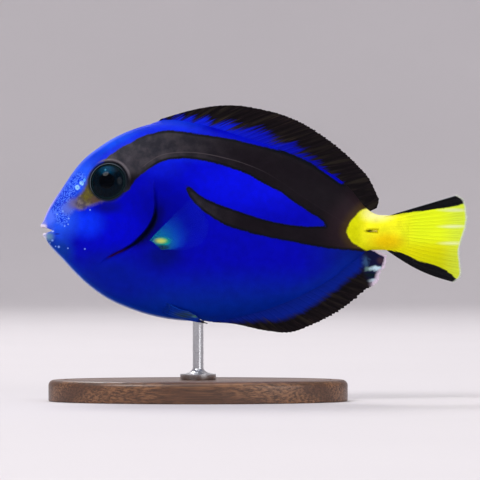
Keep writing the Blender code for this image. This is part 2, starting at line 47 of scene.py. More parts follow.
# The body, as in the solids.
BACK_LINE = (
    (-0.6, 0.9), (0.2, 2), (1.4, 4.7), (5.9, 11.8), (10.4, 18.2), (17.2, 23.9), (26.2, 28.4), (36, 30.4),
    (44.8, 29.2), (56.1, 25.9), (67.3, 22.1), (78.6, 16.9), (86, 11.8), (91, 6.3), (94, 4.4), (96.5, 4.1),
    (101, 4.6), (104, 5.2),
)
BELLY_LINE = (
    (-0.6, -1.1), (0.3, -2), (1.2, -3.1), (2.2, -4.3), (5.9, -8.2), (10.4, -13), (17, -18.3), (26, -22.5),
    (36, -25), (44, -25.5), (52, -24.6), (61.7, -22.3), (73, -17.9), (82, -12.8), (88, -8.1), (91.4, -5.9),
    (94.4, -5.6), (101, -6.4), (104, -7.3),
)
HALF_WIDTH = (
    (-0.6, 0.8), (0.3, 1.4), (2, 2.1), (5, 3.1), (10, 4.7), (16, 6.2), (22, 7.3), (30, 8.3), (38, 8.6),
    (50, 8.2), (62, 7.1), (74, 5.4), (84, 3.8), (92, 2.5), (97, 1.95), (100.5, 1.2), (102.5, 0.6),
    (104, 0.08),
)
WIDEST_SHARE = 0.54
SECTION_POWER = 1.06
SKIN_BACK = 103.6
SKIN_SIDES, SKIN_RINGS = 160, 216

# The free edge of the gill cover: height, then distance from the snout.
GILL_EDGE = (
    (-32, 6), (-19, 9.8), (-14.6, 12.1), (-10.7, 15.2), (-7.3, 19.4), (-5.1, 23.6), (-2, 27.6), (0.6, 29.9),
    (3.4, 31.4), (9.9, 31.8), (19.7, 31.2), (29.9, 30.6), (40, 30),
)
GILL_LIFT, GILL_LIFT_RUN, GILL_LOW, GILL_HIGH = 0.7, 6, -10.5, 15
GILL_STEP, GILL_STEP_RUN = 0.5, 1.3

# The lips: angle from the top in degrees, then how far back, how far out, how high, and the lip's radius.
LIP_LINE = (
    (0, 0.2, 0, 1.2, 0.48), (40, 0.6, 1.1, 1.1, 0.46), (70, 1.8, 1.95, 0.65, 0.4),
    (90, 3.3, 2.35, -0.1, 0.26), (110, 2.4, 2, -0.65, 0.4), (140, 1.35, 1.25, -1.05, 0.54),
    (180, 1, 0, -1.3, 0.6),
)
MOUTH_LEVEL = -0.1
MOUTH_DEEP = (5.0, 0.0, -0.2)
LIP_ROLL = math.radians(-105), math.radians(52)
# Where the skin behind the lips meets the body: angle from the top, then distance from the snout.
FACE_LINE = ((0, 1.5), (45, 3.2), (90, 5.8), (135, 4.0), (180, 2.8))
MOUTH_END, LIPS_END, FACE_END = 0.022, 0.085, 0.125
# How strongly the skin between them keeps the way of the lips and of the body.
LEAVING_LIPS, JOINING_BODY = 0.7, 0.9
JAW_FOLD = (5.6, -0.8), (7.6, -3.2), (10.5, -5.4)

EYE_PLACE = (18.9, 13.5)
EYE_RADIUS, EYE_DEPTH, EYE_PROUD = 5.35, 3.3, 1.5
EYE_MEETS_SKIN, EYE_SOCKET = 4.75, 1.6
# Round the eye: a ring, a groove, and above it a fold of skin. Each one's radius, height and half breadth.
EYE_RING, EYE_GROOVE, EYE_FOLD = (5.1, 0.28, 0.28), (5.6, -0.2, 0.2), (6.1, 0.32, 0.35)
NOSTRIL_PLACES = (10.3, 11.8), (11.6, 13.1)
NOSTRIL_RIM, NOSTRIL_PIT = 0.52, 0.3
SPINE_PLACE = (92.9, -0.3)
SPINE_LENGTH, SPINE_RADIUS = 2.6, 0.42
SLOT_HALF_LENGTH, SLOT_HALF_HEIGHT, SLOT_DEEP = 1.7, 0.62, 0.8

# Outlines of the markings, seen from the side: distance from the snout, then height.
BAND_ABOVE = (
    (16.9, 17.5), (17.7, 18.9), (19.4, 21), (23.9, 23.7), (28.3, 26.1), (32.8, 27.5), (36.6, 27.8),
    (42, 27.2), (49, 26.2), (53.2, 25.5), (58.6, 24.2), (64.5, 22.8), (71.3, 20.6), (76.6, 17.9),
    (81.1, 14.9), (83.5, 13.2), (85.2, 12.9), (87.5, 14.5), (92, 13), (96, 9),
)
BAND_BELOW = (
    (93, -6.3), (89.2, -5.9), (83.8, -5.5), (77.9, -4.8), (71.2, -3.5), (64.5, -2.3), (58.6, -0.8),
    (53.2, 0.8), (49.9, 2.3), (45.4, 5.3), (42.4, 8.3), (40.7, 11.2), (40.5, 12.6),
)
OVAL_BELOW = (
    (41.8, 12), (44.1, 10.2), (47.7, 8), (53.1, 6), (57.7, 4.4), (62.2, 3), (68.1, 1.7), (73.5, 1.1),
    (79.8, 1),
)
OVAL_ABOVE = (
    (78.8, 2.6), (75.7, 4.6), (71.2, 7.5), (67.6, 10.2), (62.2, 13), (58.6, 15.2), (53.1, 17.3), (46.3, 19.2),
    (39.6, 19.9), (34.2, 19.1), (31, 17.3), (28.3, 15.4), (26.1, 13.4), (24.6, 11), (20.5, 9.5),
)
BLACK_ON_DORSAL = (
    (28, 30.6), (33.5, 31.2), (39.6, 32), (44.1, 32), (48.6, 31.1), (53.1, 30.1), (57.7, 29.2), (63.6, 27.3),
    (68.1, 25.6), (72, 23.3), (76.6, 20.6), (80.6, 17), (83.2, 14.2), (85, 11.4), (87, 6), (92, -2),
)
BLACK_ON_ANAL = (
    (40, -26.3), (53.8, -26), (60.4, -25.6), (68.5, -25), (74.6, -22.1), (80.4, -18.6), (84.3, -15.3),
    (88.4, -12.4), (93, -8.4), (98, -5),
)
YELLOW_FRONT = (
    (96, 8), (92, 6.3), (89.9, 5.6), (88.6, 4.5), (87.5, 3.3), (86.5, 1.9), (85.8, 0.4), (85.8, -1.2),
    (87.4, -3.6), (90.9, -5.6), (95, -7.3),
)
YELLOW_REAR = (160, -7), (160, 8.5)
BLACK_ABOVE_TAIL = (
    (95.5, 4.7), (97.5, 4.1), (99.5, 4.25), (102.5, 4.8), (109.3, 5.7), (114.7, 6.4), (118.3, 7.3), (121, 8),
)
BLACK_BELOW_TAIL = (
    (94, -5.9), (96, -5.6), (99, -5.9), (102.2, -6.8), (106.2, -8.7), (111.2, -10.1), (114.8, -12.2),
    (117, -14.3), (118.5, -17),
)
LATERAL_LINE = (
    (28.4, 17.4), (30.7, 19.2), (34.2, 21), (40, 21.7), (46.3, 21.2), (53.1, 19.7), (56.8, 18.6),
    (62.2, 16.4), (66.7, 13.8), (71.2, 10.7), (76.3, 7.3), (82.3, 3.6), (87.6, 0.6), (93, -0.3),
)
OLIVE_PATCH = (
    (15.6, 17.6), (13.8, 15.6), (12.7, 13), (11.4, 10.6), (10, 9), (9.6, 7), (11.2, 5.7), (13.4, 6.5),
    (15.4, 7.2), (17.4, 7.9), (19.2, 9.5), (18.8, 14),
)
SPECKLED = (
    (11.2, 16.4), (12.6, 14.8), (11.6, 12.4), (9.8, 10.2), (9, 8), (9.4, 6), (8.2, 4.4), (7.4, 1.4),
    (5.4, 1.6), (3.2, 2.8), (2, 4.4), (3.6, 7.6), (7.2, 12.7), (9.4, 15.6),
)
# Single pale dots on the snout and chin: distance from the snout, height and radius.
PALE_DOTS = (
    (3.2, -2.9, 0.3), (2.5, -3.6, 0.18), (5, -4.7, 0.3), (4.1, -4.6, 0.18), (7.6, -5.1, 0.2),
    (12.4, -5.3, 0.2), (7.9, 3.2, 0.22), (6.7, 1.1, 0.2), (7.7, 1.6, 0.2), (13.9, 5.6, 0.2), (4.6, 4.4, 0.22),
    (6.2, 5.3, 0.22),
)
DOT_REACH = 1.6

# The fins. Share of the way along the root, then the ray tip's distance from the snout and its height.
DORSAL_SPINES, DORSAL_RAYS = 9, 34
DORSAL_ROOT = (31.0, 91.5)
DORSAL_MARGIN = (
    (0, 33.6, 31.2), (0.06, 41, 33.4), (0.18, 53, 35.1), (0.3, 64, 33.5), (0.43, 72.5, 30.6),
    (0.56, 79.2, 26.6), (0.68, 84.8, 22.3), (0.79, 89.2, 18), (0.88, 92.2, 14.4), (0.94, 94, 10.6),
    (0.98, 94.8, 8), (1, 94.2, 6.2),
)
ANAL_SPINES, ANAL_RAYS = 3, 27
ANAL_ROOT = (45.6, 91.6)
ANAL_MARGIN = (
    (0, 48.2, -25.9), (0.1, 54.2, -26.4), (0.22, 63, -28.3), (0.33, 70.4, -28.8), (0.42, 76, -26.8),
    (0.54, 81.8, -24.1), (0.66, 87.1, -20.5), (0.76, 91.8, -16.5), (0.82, 93.9, -15.6), (0.88, 95.2, -14),
    (0.93, 95.6, -12), (0.97, 97, -10.2), (1, 97.3, -7.2),
)
CAUDAL_RAYS = 18
CAUDAL_ROOT = (96.2, 3.7, -5.2)
CAUDAL_MARGIN = (
    (0, 116.8, 9.9), (0.07, 118.8, 8.6), (0.16, 119.6, 5.4), (0.34, 119.5, 1.2), (0.5, 118.4, -2.4),
    (0.66, 117.5, -6), (0.82, 117.9, -10), (0.93, 117.8, -13.2), (1, 116, -14.7),
)
PECTORAL_RAYS = 15
PECTORAL_ROOT = (30.2, -3.2), (33.4, -5.3)
PECTORAL_MARGIN = (
    (0, 42, 8.5), (0.15, 44.3, 7.2), (0.35, 46.4, 4.2), (0.6, 47.2, -0.2), (0.8, 45.4, -3.6), (1, 41, -5.6),
)
PECTORAL_SPREAD = math.radians(36)
PELVIC_RAYS = 5
PELVIC_ROOT = ((0, 31.2, -21.5, 2.2), (1, 34.2, -19.4, 3.8))
PELVIC_MARGIN = (
    (0, 46.7, -26.2, 2.7), (0.4, 45.4, -25.3, 3.2), (0.75, 43.6, -23.9, 3.9), (1, 41.5, -22.7, 4.4),
)
CAUDAL_BOW, PECTORAL_BOW, PELVIC_BOW = 1.35, 1.2, 0.7
ROOT_SINK, SHEATH_HEIGHT = 1, 0.55
RAY_COLUMNS = 8
MEMBRANE = 0.16

# The stand, in millimetres from the floor.
BASE_HALF_LENGTH, BASE_HALF_WIDTH, BASE_THICKNESS, BASE_ROUNDING = 42, 23, 6, 1.6
# The groove round the top of the base: steps inwards, and how far each goes up.
BASE_GROOVE = (2.6, 0), (0.25, -0.35), (0.3, 0), (0.25, 0.35)
ROD_RADIUS, ROD_FOOT_RADIUS, ROD_FOOT_HEIGHT, ROD_IN_BODY = 1.5, 5, 1.6, 5

# The studio and the camera, in metres.
FLOOR_RADIUS, FLOOR_CURVE, WALL_TOP = 2.6, 0.9, 3.2
CAMERA_PLACE = (0.01176, -1.1225, 0.0452)
CAMERA_LENS = 300


# Measuring and drawing smooth lines.
def points_at(x, out, z):
    """Points from their three numbers, each an array or the same for all."""
    return np.stack(np.broadcast_arrays(x, out, z), axis=-1)


def bend(t, start, leaving, end, arriving):
    """A smooth way from start to end, for t from 0 to 1, with its direction at both ends."""
    first = (1 + 2 * t) * (1 - t) ** 2 * start + t * (1 - t) ** 2 * leaving
    return first + t * t * (3 - 2 * t) * end + t * t * (t - 1) * arriving


def smooth_line(points):
    """A smooth curve through the points, as a function of their first number."""
    where, value = np.array(points, float).T
    slope = np.gradient(value, where)

    def read(at):
        at = np.clip(at, where[0], where[-1])
        i = np.clip(np.searchsorted(where, at, side="right") - 1, 0, len(where) - 2)
        step = where[i + 1] - where[i]
        return bend((at - where[i]) / step, value[i], step * slope[i], value[i + 1], step * slope[i + 1])

    return read


def smooth_lines(points):
    """One smooth curve for each number after the first."""
    table = np.array(points, float)
    return [smooth_line(table[:, [0, column]]) for column in range(1, table.shape[1])]


back_line, belly_line, half_width = smooth_line(BACK_LINE), smooth_line(BELLY_LINE), smooth_line(HALF_WIDTH)
gill_edge, face_line = smooth_line(GILL_EDGE), smooth_line(FACE_LINE)
lip_back, lip_out, lip_height, lip_radius = smooth_lines(LIP_LINE)


def ease(value, low, high):
    """0 at low and 1 at high, with a smooth change between."""
    share = np.clip((value - low) / (high - low), 0, 1)
    return share * share * (3 - 2 * share)


def hump(value, middle, spread):
    return np.exp(-(((value - middle) / spread) ** 2))


def drawn(points, pieces=6):
    """A smooth line through the points of a marking, as short straight pieces."""
    held = np.array(points, float)
    ends = np.vstack((2 * held[0] - held[1], held, 2 * held[-1] - held[-2]))
    slope = (ends[2:] - ends[:-2]) / 2
    t = (np.arange(pieces) / pieces)[:, None]
    made = [bend(t, held[i], slope[i], held[i + 1], slope[i + 1]) for i in range(len(held) - 1)]
    return np.vstack((*made, held[-1:]))


def distance_to(line, x, z):
    """How far each place is from a line of short pieces."""
    nearest = np.full(len(x), 1e6)
    for (from_x, from_z), (to_x, to_z) in zip(line[:-1], line[1:]):
        run, rise = to_x - from_x, to_z - from_z
        t = np.clip(((x - from_x) * run + (z - from_z) * rise) / (run * run + rise * rise + 1e-12), 0, 1)
        nearest = np.minimum(nearest, (x - from_x - t * run) ** 2 + (z - from_z - t * rise) ** 2)
    return np.sqrt(nearest)


def inside(line, x, z):
    """Whether each place is inside a closed line."""
    held = np.zeros(len(x), bool)
    for (from_x, from_z), (to_x, to_z) in zip(line, np.roll(line, -1, axis=0)):
        if from_z != to_z:
            crosses = (from_z > z) != (to_z > z)
            held ^= crosses & (x < from_x + (z - from_z) / (to_z - from_z) * (to_x - from_x))
    return held


def depth_in(line, x, z):
    """How deep each place is inside a closed line, negative outside."""
    closed = np.vstack((line, line[:1]))
    return np.where(inside(line, x, z), 1, -1) * distance_to(closed, x, z)


def height_over(line, x, z):
    """How far each place is above a line that runs back along the fish, negative below."""
    level = np.interp(x, line[:, 0], line[:, 1])
    return np.where(z > level, 1, -1) * distance_to(line, x, z)


marking_outlines = {
    "in_band": np.vstack([drawn(line) for line in (BAND_ABOVE, BAND_BELOW, OVAL_BELOW, OVAL_ABOVE)]),
    "in_yellow": np.vstack((drawn(YELLOW_FRONT), YELLOW_REAR)),
    "in_olive": drawn((*OLIVE_PATCH, OLIVE_PATCH[0])),
    "in_speckles": drawn((*SPECKLED, SPECKLED[0])),
}
lateral_line = drawn(LATERAL_LINE)
profile_places = np.linspace(0.5, 90, 100)
back_profile = np.stack((profile_places, back_line(profile_places)), axis=1)
belly_profile = np.stack((profile_places, belly_line(profile_places)), axis=1)


def tail_black(x, z):
    """How deep each place is in the black bands above and below the tail, negative outside."""
    above = np.minimum(height_over(drawn(BLACK_ABOVE_TAIL), x, z), 1) - 3 * (1 - ease(x, 96.4, 97.9))
    below = np.minimum(-height_over(drawn(BLACK_BELOW_TAIL), x, z), 1) - 3 * (1 - ease(x, 94.4, 96))
    return np.maximum(above, below)


def gill_shadows(x, z):
    """The dark slit behind the gill cover's edge, partly painted shadow, and a soft painted shadow behind it.
    """
    behind = behind_gill(x, z)
    breadth = 0.75 + 0.95 * ease(z, -7, -1.5) * ease(z, 7, 2)
    slit = ease(behind, -0.3, 0.05) * (1 - ease(behind, breadth - 0.55, breadth))
    shade = ease(behind, 0, 0.4) * (1 - ease(behind, 1.3, 4.2)) * ease(z, -6.5, -3) * ease(z, 10, 5)
    return slit * ease(z, -8.3, -7) * ease(z, 7.8, 4), shade


def tail_ray_at(x, z):
    """Which ray of the tail fin is at each place, counted from the top, and how far along the ray it is."""
    root_x, top, bottom = CAUDAL_ROOT
    margin_x, margin_z = smooth_lines(CAUDAL_MARGIN)
    low, high = np.zeros(len(x)), np.ones(len(x))
    for _ in range(20):
        along = (low + high) / 2
        reach = np.clip((x - root_x) / (margin_x(along) - root_x), 0, 1)
        start = top + (bottom - top) * along
        level = start + (margin_z(along) - start) * reach - CAUDAL_BOW * along ** 2 * np.sin(math.pi * reach)
        low = np.where(level > z, along, low)
        high = np.where(level > z, high, along)
    return along * (CAUDAL_RAYS - 1), reach


# The body's surface.
def section(x):
    """The top, widest level, bottom and half width of the body's cross-section."""
    top, bottom = back_line(x), belly_line(x)
    return top, bottom + WIDEST_SHARE * (top - bottom), bottom, half_width(x)


def behind_gill(x, z):
    """How far a place is behind the gill cover's free edge."""
    step = 0.3
    slope = (gill_edge(z + step) - gill_edge(z - step)) / (2 * step)
    return (x - gill_edge(z)) / np.sqrt(1 + slope * slope)


def gill_shape(x, z):
    """The gill cover stands proud in front of its free edge, and the skin dips behind it."""
    behind = behind_gill(x, z)
    in_height = ease(z, GILL_LOW, GILL_LOW + GILL_LIFT_RUN) * ease(z, GILL_HIGH, GILL_HIGH - GILL_LIFT_RUN)
    past_edge = ease(behind, -0.1, 0.14)
    cover = GILL_LIFT * ease(behind, -GILL_LIFT_RUN, 0) * (1 - past_edge)
    dip = GILL_STEP * past_edge * (1 - ease(behind, 0.1, GILL_STEP_RUN))
    return (cover - dip) * in_height


def body_skin(x, angle):
    """Points of the body's surface, with the angle turned from the back."""
    top, middle, bottom, width = section(x)
    z = middle + np.where(np.cos(angle) > 0, top - middle, middle - bottom) * np.cos(angle)
    out = width * np.abs(np.sin(angle)) ** SECTION_POWER * np.sign(np.sin(angle))
    return points_at(x, out + gill_shape(x, z) * np.sin(angle), z)


def side_of(x, z):
    """How far the body's side is from the middle plane."""
    top, middle, bottom, width = section(x)
    share = (z - middle) / np.where(z > middle, top - middle, middle - bottom)
    return width * np.maximum(1 - share * share, 0) ** (SECTION_POWER / 2)


def skin_spot(x, z, side):
    """A place on the body's side, and the way that the skin faces there."""
    step = 0.2
    slope_x = (side_of(x + step, z) - side_of(x - step, z)) / (2 * step)
    slope_z = (side_of(x, z + step) - side_of(x, z - step)) / (2 * step)
    facing = np.array((-slope_x, side, -slope_z))
    return np.array((x, side * side_of(x, z), z)), facing / np.linalg.norm(facing)


def lips(angle, roll):
    """Points on the lips, with roll turned from their inner edge over the front to their outer edge."""
    away = np.degrees(np.abs(angle))
    middle = points_at(lip_back(away), lip_out(away) * np.sign(angle), lip_height(away))
    outward = middle * (0, 1, 1) - (0, 0, MOUTH_LEVEL)
    outward /= np.linalg.norm(outward, axis=-1, keepdims=True)
    turn = np.sin(roll)[:, None] * outward - np.cos(roll)[:, None] * np.array((1, 0, 0))
    return middle + lip_radius(away)[:, None] * turn


def skin_shape(share, angle):
    """The whole skin. share runs from deep in the mouth over the lips and the face, and back to the tail."""
    flat = np.ones_like(angle)
    inner, outer = lips(angle, LIP_ROLL[0] * flat), lips(angle, LIP_ROLL[1] * flat)
    into = np.clip(share / MOUTH_END, 0, 1)[:, None]
    mouth = np.array(MOUTH_DEEP) * (1 - into) + inner * into
    roll = np.clip((share - MOUTH_END) / (LIPS_END - MOUTH_END), 0, 1)
    on_lips = lips(angle, LIP_ROLL[0] + (LIP_ROLL[1] - LIP_ROLL[0]) * roll)
    face_x = face_line(np.degrees(np.abs(angle)))
    face = body_skin(face_x, angle)
    reach = np.linalg.norm(face - outer, axis=-1, keepdims=True)
    leaving = outer - lips(angle, (LIP_ROLL[1] - 0.05) * flat)
    leaving *= LEAVING_LIPS * reach / np.linalg.norm(leaving, axis=-1, keepdims=True)
    joining = body_skin(face_x + 0.2, angle) - face
    joining *= JOINING_BODY * reach / np.linalg.norm(joining, axis=-1, keepdims=True)
    t = np.clip((share - LIPS_END) / (FACE_END - LIPS_END), 0, 1)[:, None]
    on_face = bend(t, outer, leaving, face, joining)
    back = np.clip((share - FACE_END) / (1 - FACE_END), 0, 1)
    body = body_skin(face_x + (SKIN_BACK - face_x) * (0.8 * back + 0.2 * back * back), angle)
    level = share[:, None]
    return np.select([level < MOUTH_END, level < LIPS_END, level < FACE_END], [mouth, on_lips, on_face], body)


# Handling pieces.
def in_model(points):
    """Places on the fish, in the model's frame."""
    return (points + FISH_IN_MODEL) * MM


def fish_places(piece):
    """Where a finished piece's vertices are on the fish, as three rows of numbers."""
    return (places(piece) / MM - FISH_IN_MODEL).T


def select_only(piece):
    bpy.ops.object.select_all(action="DESELECT")
    piece.select_set(True)
    bpy.context.view_layer.objects.active = piece


def triples(holders, word):
    """The three numbers that each vertex, normal or face holds."""
    made = np.zeros(len(holders) * 3)
    holders.foreach_get(word, made)
    return made.reshape(-1, 3)


def places(piece):
    return triples(piece.data.vertices, "co")


def put_places(piece, points):
    piece.data.vertices.foreach_set("co", np.ascontiguousarray(points, np.float32).ravel())
    piece.data.update()


def store(piece, **values):
    """Keeps numbers for each vertex, which a material reads by their name."""
    for name, numbers in values.items():
        held = piece.data.attributes.new(name, "FLOAT", "POINT")
        held.data.foreach_set("value", np.ascontiguousarray(numbers, np.float32))


def face_middles(piece, points):
    """The middle of each face, with the vertices at these points."""
    faces = piece.data.polygons
    first, count = np.zeros(len(faces), int), np.zeros(len(faces), int)
    faces.foreach_get("loop_start", first)
    faces.foreach_get("loop_total", count)
    corner = np.zeros(len(piece.data.loops), int)
    piece.data.loops.foreach_get("vertex_index", corner)
    return np.add.reduceat(points[corner], first, axis=0) / count[:, None]


def edit_faces(piece, work, chosen=None):
    """Selects the chosen faces, or all of them, and does the work on them in edit mode."""
    select_only(piece)
    bpy.ops.object.mode_set(mode="EDIT")
    bpy.ops.mesh.select_mode(type="FACE")
    bpy.ops.mesh.select_all(action="DESELECT")
    bpy.ops.object.mode_set(mode="OBJECT")
    faces = piece.data.polygons
    faces.foreach_set("select", np.ones(len(faces), bool) if chosen is None else chosen)
    bpy.ops.object.mode_set(mode="EDIT")
    work()
    bpy.ops.object.mode_set(mode="OBJECT")


def face_outwards(piece):
    edit_faces(piece, lambda: bpy.ops.mesh.normals_make_consistent(inside=False))


def spun(name, profile, steps, merge, inside=False):
    """A closed turned shape, from the radius and height of the points of its half profile."""
    mesh = bpy.data.meshes.new(name)
    mesh.from_pydata([(r, 0, z) for r, z in profile], [(i, i + 1) for i in range(len(profile) - 1)], [])
    piece = add_to_scene(name, mesh)
    select_only(piece)
    bpy.ops.object.mode_set(mode="EDIT")
    bpy.ops.mesh.select_all(action="SELECT")
    bpy.ops.mesh.spin(steps=steps, angle=2 * math.pi, center=(0, 0, 0), axis=(0, 0, 1))
    bpy.ops.mesh.select_all(action="SELECT")
    bpy.ops.mesh.remove_doubles(threshold=merge)
    bpy.ops.mesh.normals_make_consistent(inside=inside)
    bpy.ops.object.mode_set(mode="OBJECT")
    return piece


def set_down(piece, middle, turn):
    """Shrinks a piece made in millimetres, turns it, and moves it to its place on the fish."""
    piece.data.transform(Matrix.Scale(MM, 4))
    piece.data.transform(Matrix.Translation(in_model(middle)) @ turn)
    piece.data.shade_smooth()


def turned_to(direction):
    return Vector(direction).to_track_quat("Z", "Y").to_matrix().to_4x4()


def finish_piece(piece, name, material, slot, *nodes):
    """Names a piece, gives it its finish, and lets it ride on the fish in place of its solids."""
    piece.name = piece.data.name = name
    piece.data.materials.clear()
    piece.data.materials.append(material)
    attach(piece, "root")
    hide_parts(*nodes)
    return piece


# The skin: head, trunk and tail stalk in one.
def sphere_reading(piece):
    """Where each vertex of the unit sphere is: share of the way back, and angle from the top."""
    points = places(piece)
    points /= np.linalg.norm(points, axis=1, keepdims=True)
    return np.arccos(np.clip(points[:, 2], -1, 1)) / math.pi, np.arctan2(points[:, 1], points[:, 0])


def eye_reading(points, side):
    """How far each point is from the eye's axis, how high over the skin at the eye, and the axis."""
    spot, direction = skin_spot(*EYE_PLACE, side)
    away = points - spot
    height = away @ direction
    flat = np.linalg.norm(away - height[:, None] * direction, axis=1)
    return np.where((points[:, 1] * side > 0) & (np.abs(height) < 6), flat, 99), height, direction


def from_eye(points):
    """How far each point is from the nearer eye's axis."""
    return np.minimum(eye_reading(points, -1)[0], eye_reading(points, 1)[0])


def from_nostrils(points):
    """How far each point is from each of the two nostrils on its side."""
    x, out, z = points.T
    return [np.where(np.abs(out) > 1, np.hypot(x - at_x, z - at_z), 9) for at_x, at_z in NOSTRIL_PLACES]


def needs_finer_mesh(middles):
    """Faces round the eyes, nostrils, gill edge and tail spines."""
    x, out, z = middles.T
    wanted = (np.abs(behind_gill(x, z)) < 1.1) & (z > GILL_LOW) & (z < GILL_HIGH)
    wanted |= (from_eye(middles) < 6.9) | (np.minimum(*from_nostrils(middles)) < 1.6)
    wanted |= (np.abs(x - SPINE_PLACE[0]) < 2.6) & (np.abs(z - SPINE_PLACE[1]) < 1.6)
    return wanted & (x > 6)


def needs_finest_mesh(middles):
    """Faces at the nostrils' rims and at the lip of the eye's socket."""
    return (np.abs(from_eye(middles) - 5.4) < 1.1) | (np.minimum(*from_nostrils(middles)) < 1.1)


def skin_relief(points):
    """How far the skin stands out from the plain body: rims, pits, grooves and slots."""
    x, out, z = points.T
    relief = np.zeros(len(x))
    for away in from_nostrils(points):
        relief += 0.22 * hump(away, NOSTRIL_RIM, 0.24) - 0.14 * (1 - ease(away, 0.05, NOSTRIL_PIT))
    relief += np.where(z > -1, 0.035 * hump(distance_to(lateral_line, x, z), 0, 0.35), 0)
    cheek_ridge = np.hypot((x - 15.5) / 11.5, (z - 1.5) / 13.5)
    relief += 0.16 * hump(cheek_ridge, 0.97, 0.07) * ease(z, 6, 0) * (x > 14)
    relief -= 0.12 * hump(distance_to(np.array(JAW_FOLD), x, z), 0, 0.45)
    in_slot = 1 - ease(np.abs(x - SPINE_PLACE[0]), SLOT_HALF_LENGTH - 0.25, SLOT_HALF_LENGTH + 0.2)
    in_slot *= 1 - ease(np.abs(z - SPINE_PLACE[1]), SLOT_HALF_HEIGHT - 0.3, SLOT_HALF_HEIGHT + 0.25)
    relief -= SLOT_DEEP * in_slot
    number = tail_ray_at(x, z)[0]
    return relief + 0.08 * hump(np.abs(number - np.round(number)), 0, 0.22) * ease(x, 97, 101)


def seat_eye(points, side):
    """Raises the rim of skin round the eye, and sinks the skin under the eye."""
    away, height, direction = eye_reading(points, side)
    meets = EYE_DEPTH * math.sqrt(1 - (EYE_MEETS_SKIN / EYE_RADIUS) ** 2) - (EYE_DEPTH - EYE_PROUD) - 0.05
    lift = (meets - height) * (1 - ease(away, EYE_MEETS_SKIN, EYE_MEETS_SKIN + 1.4))
    above = ease(points[:, 2] - EYE_PLACE[1], -3.5, 1.5)
    for (radius, rise, spread), share in ((EYE_RING, 1), (EYE_GROOVE, 0.4 + 0.6 * above), (EYE_FOLD, above)):
        lift += rise * share * hump(away, radius, spread) * ease(away, EYE_MEETS_SKIN, EYE_MEETS_SKIN + 0.25)
    lift -= EYE_SOCKET * (1 - ease(away, EYE_MEETS_SKIN - 0.35, EYE_MEETS_SKIN + 0.05))
    return points + np.where(away < 9, lift, 0)[:, None] * direction


def fin_sheaths(points):
    """Soft ridges of skin along the roots of the back and belly fins."""
    x, out, z = points.T
    rear = 1 - ease(x, 88, 92)
    top = ease(x, 30, 34) * rear * (z > section(x)[1])
    low = ease(x, 45, 48) * rear * (z < section(x)[1])
    return points + points_at(0, 0, SHEATH_HEIGHT * hump(out, 0, 0.9) * (top - low))


def make_skin():
    bpy.ops.mesh.primitive_uv_sphere_add(segments=SKIN_SIDES, ring_count=SKIN_RINGS, radius=1)
    skin = bpy.context.object
    for choose, cuts in ((needs_finer_mesh, 2), (needs_finest_mesh, 1)):
        chosen = choose(face_middles(skin, skin_shape(*sphere_reading(skin))))
        edit_faces(skin, lambda: bpy.ops.mesh.subdivide(number_cuts=cuts), chosen)
    share, angle = sphere_reading(skin)
    plain = skin_shape(share, angle)
    put_places(skin, plain)
    face_outwards(skin)
    points = plain + triples(skin.data.vertex_normals, "vector") * skin_relief(plain)[:, None]
    for side in (-1, 1):
        points = seat_eye(points, side)
    put_places(skin, in_model(fin_sheaths(points)))
    x, out, z = plain.T
    # Painted shadow under the gill cover: the slit's mask and the softer shadow behind it.
    slit, shade = gill_shadows(x, z)
    number, reach = tail_ray_at(x, z)
    store(
        skin, **{name: depth_in(outline, x, z) for name, outline in marking_outlines.items()},
        in_black=tail_black(x, z), over_lateral_line=height_over(lateral_line, x, z),
        gill_slit=slit, gill_shade=shade, ray_number=number, reach=reach,
        from_nostril=np.minimum(*from_nostrils(plain)), from_eye=from_eye(plain),
        in_mouth=1 - ease(share, MOUTH_END * 0.9, MOUTH_END + 0.35 * (LIPS_END - MOUTH_END)),
        on_lips=1 - ease(share, LIPS_END - 0.02, LIPS_END + 0.02),
        under_back=distance_to(back_profile, x, z), over_belly=distance_to(belly_profile, x, z),
    )
    skin.data.shade_smooth()
    return finish_piece(skin, "skin", skin_finish(), "blue_skin", "head", "torso", "tail_stalk")


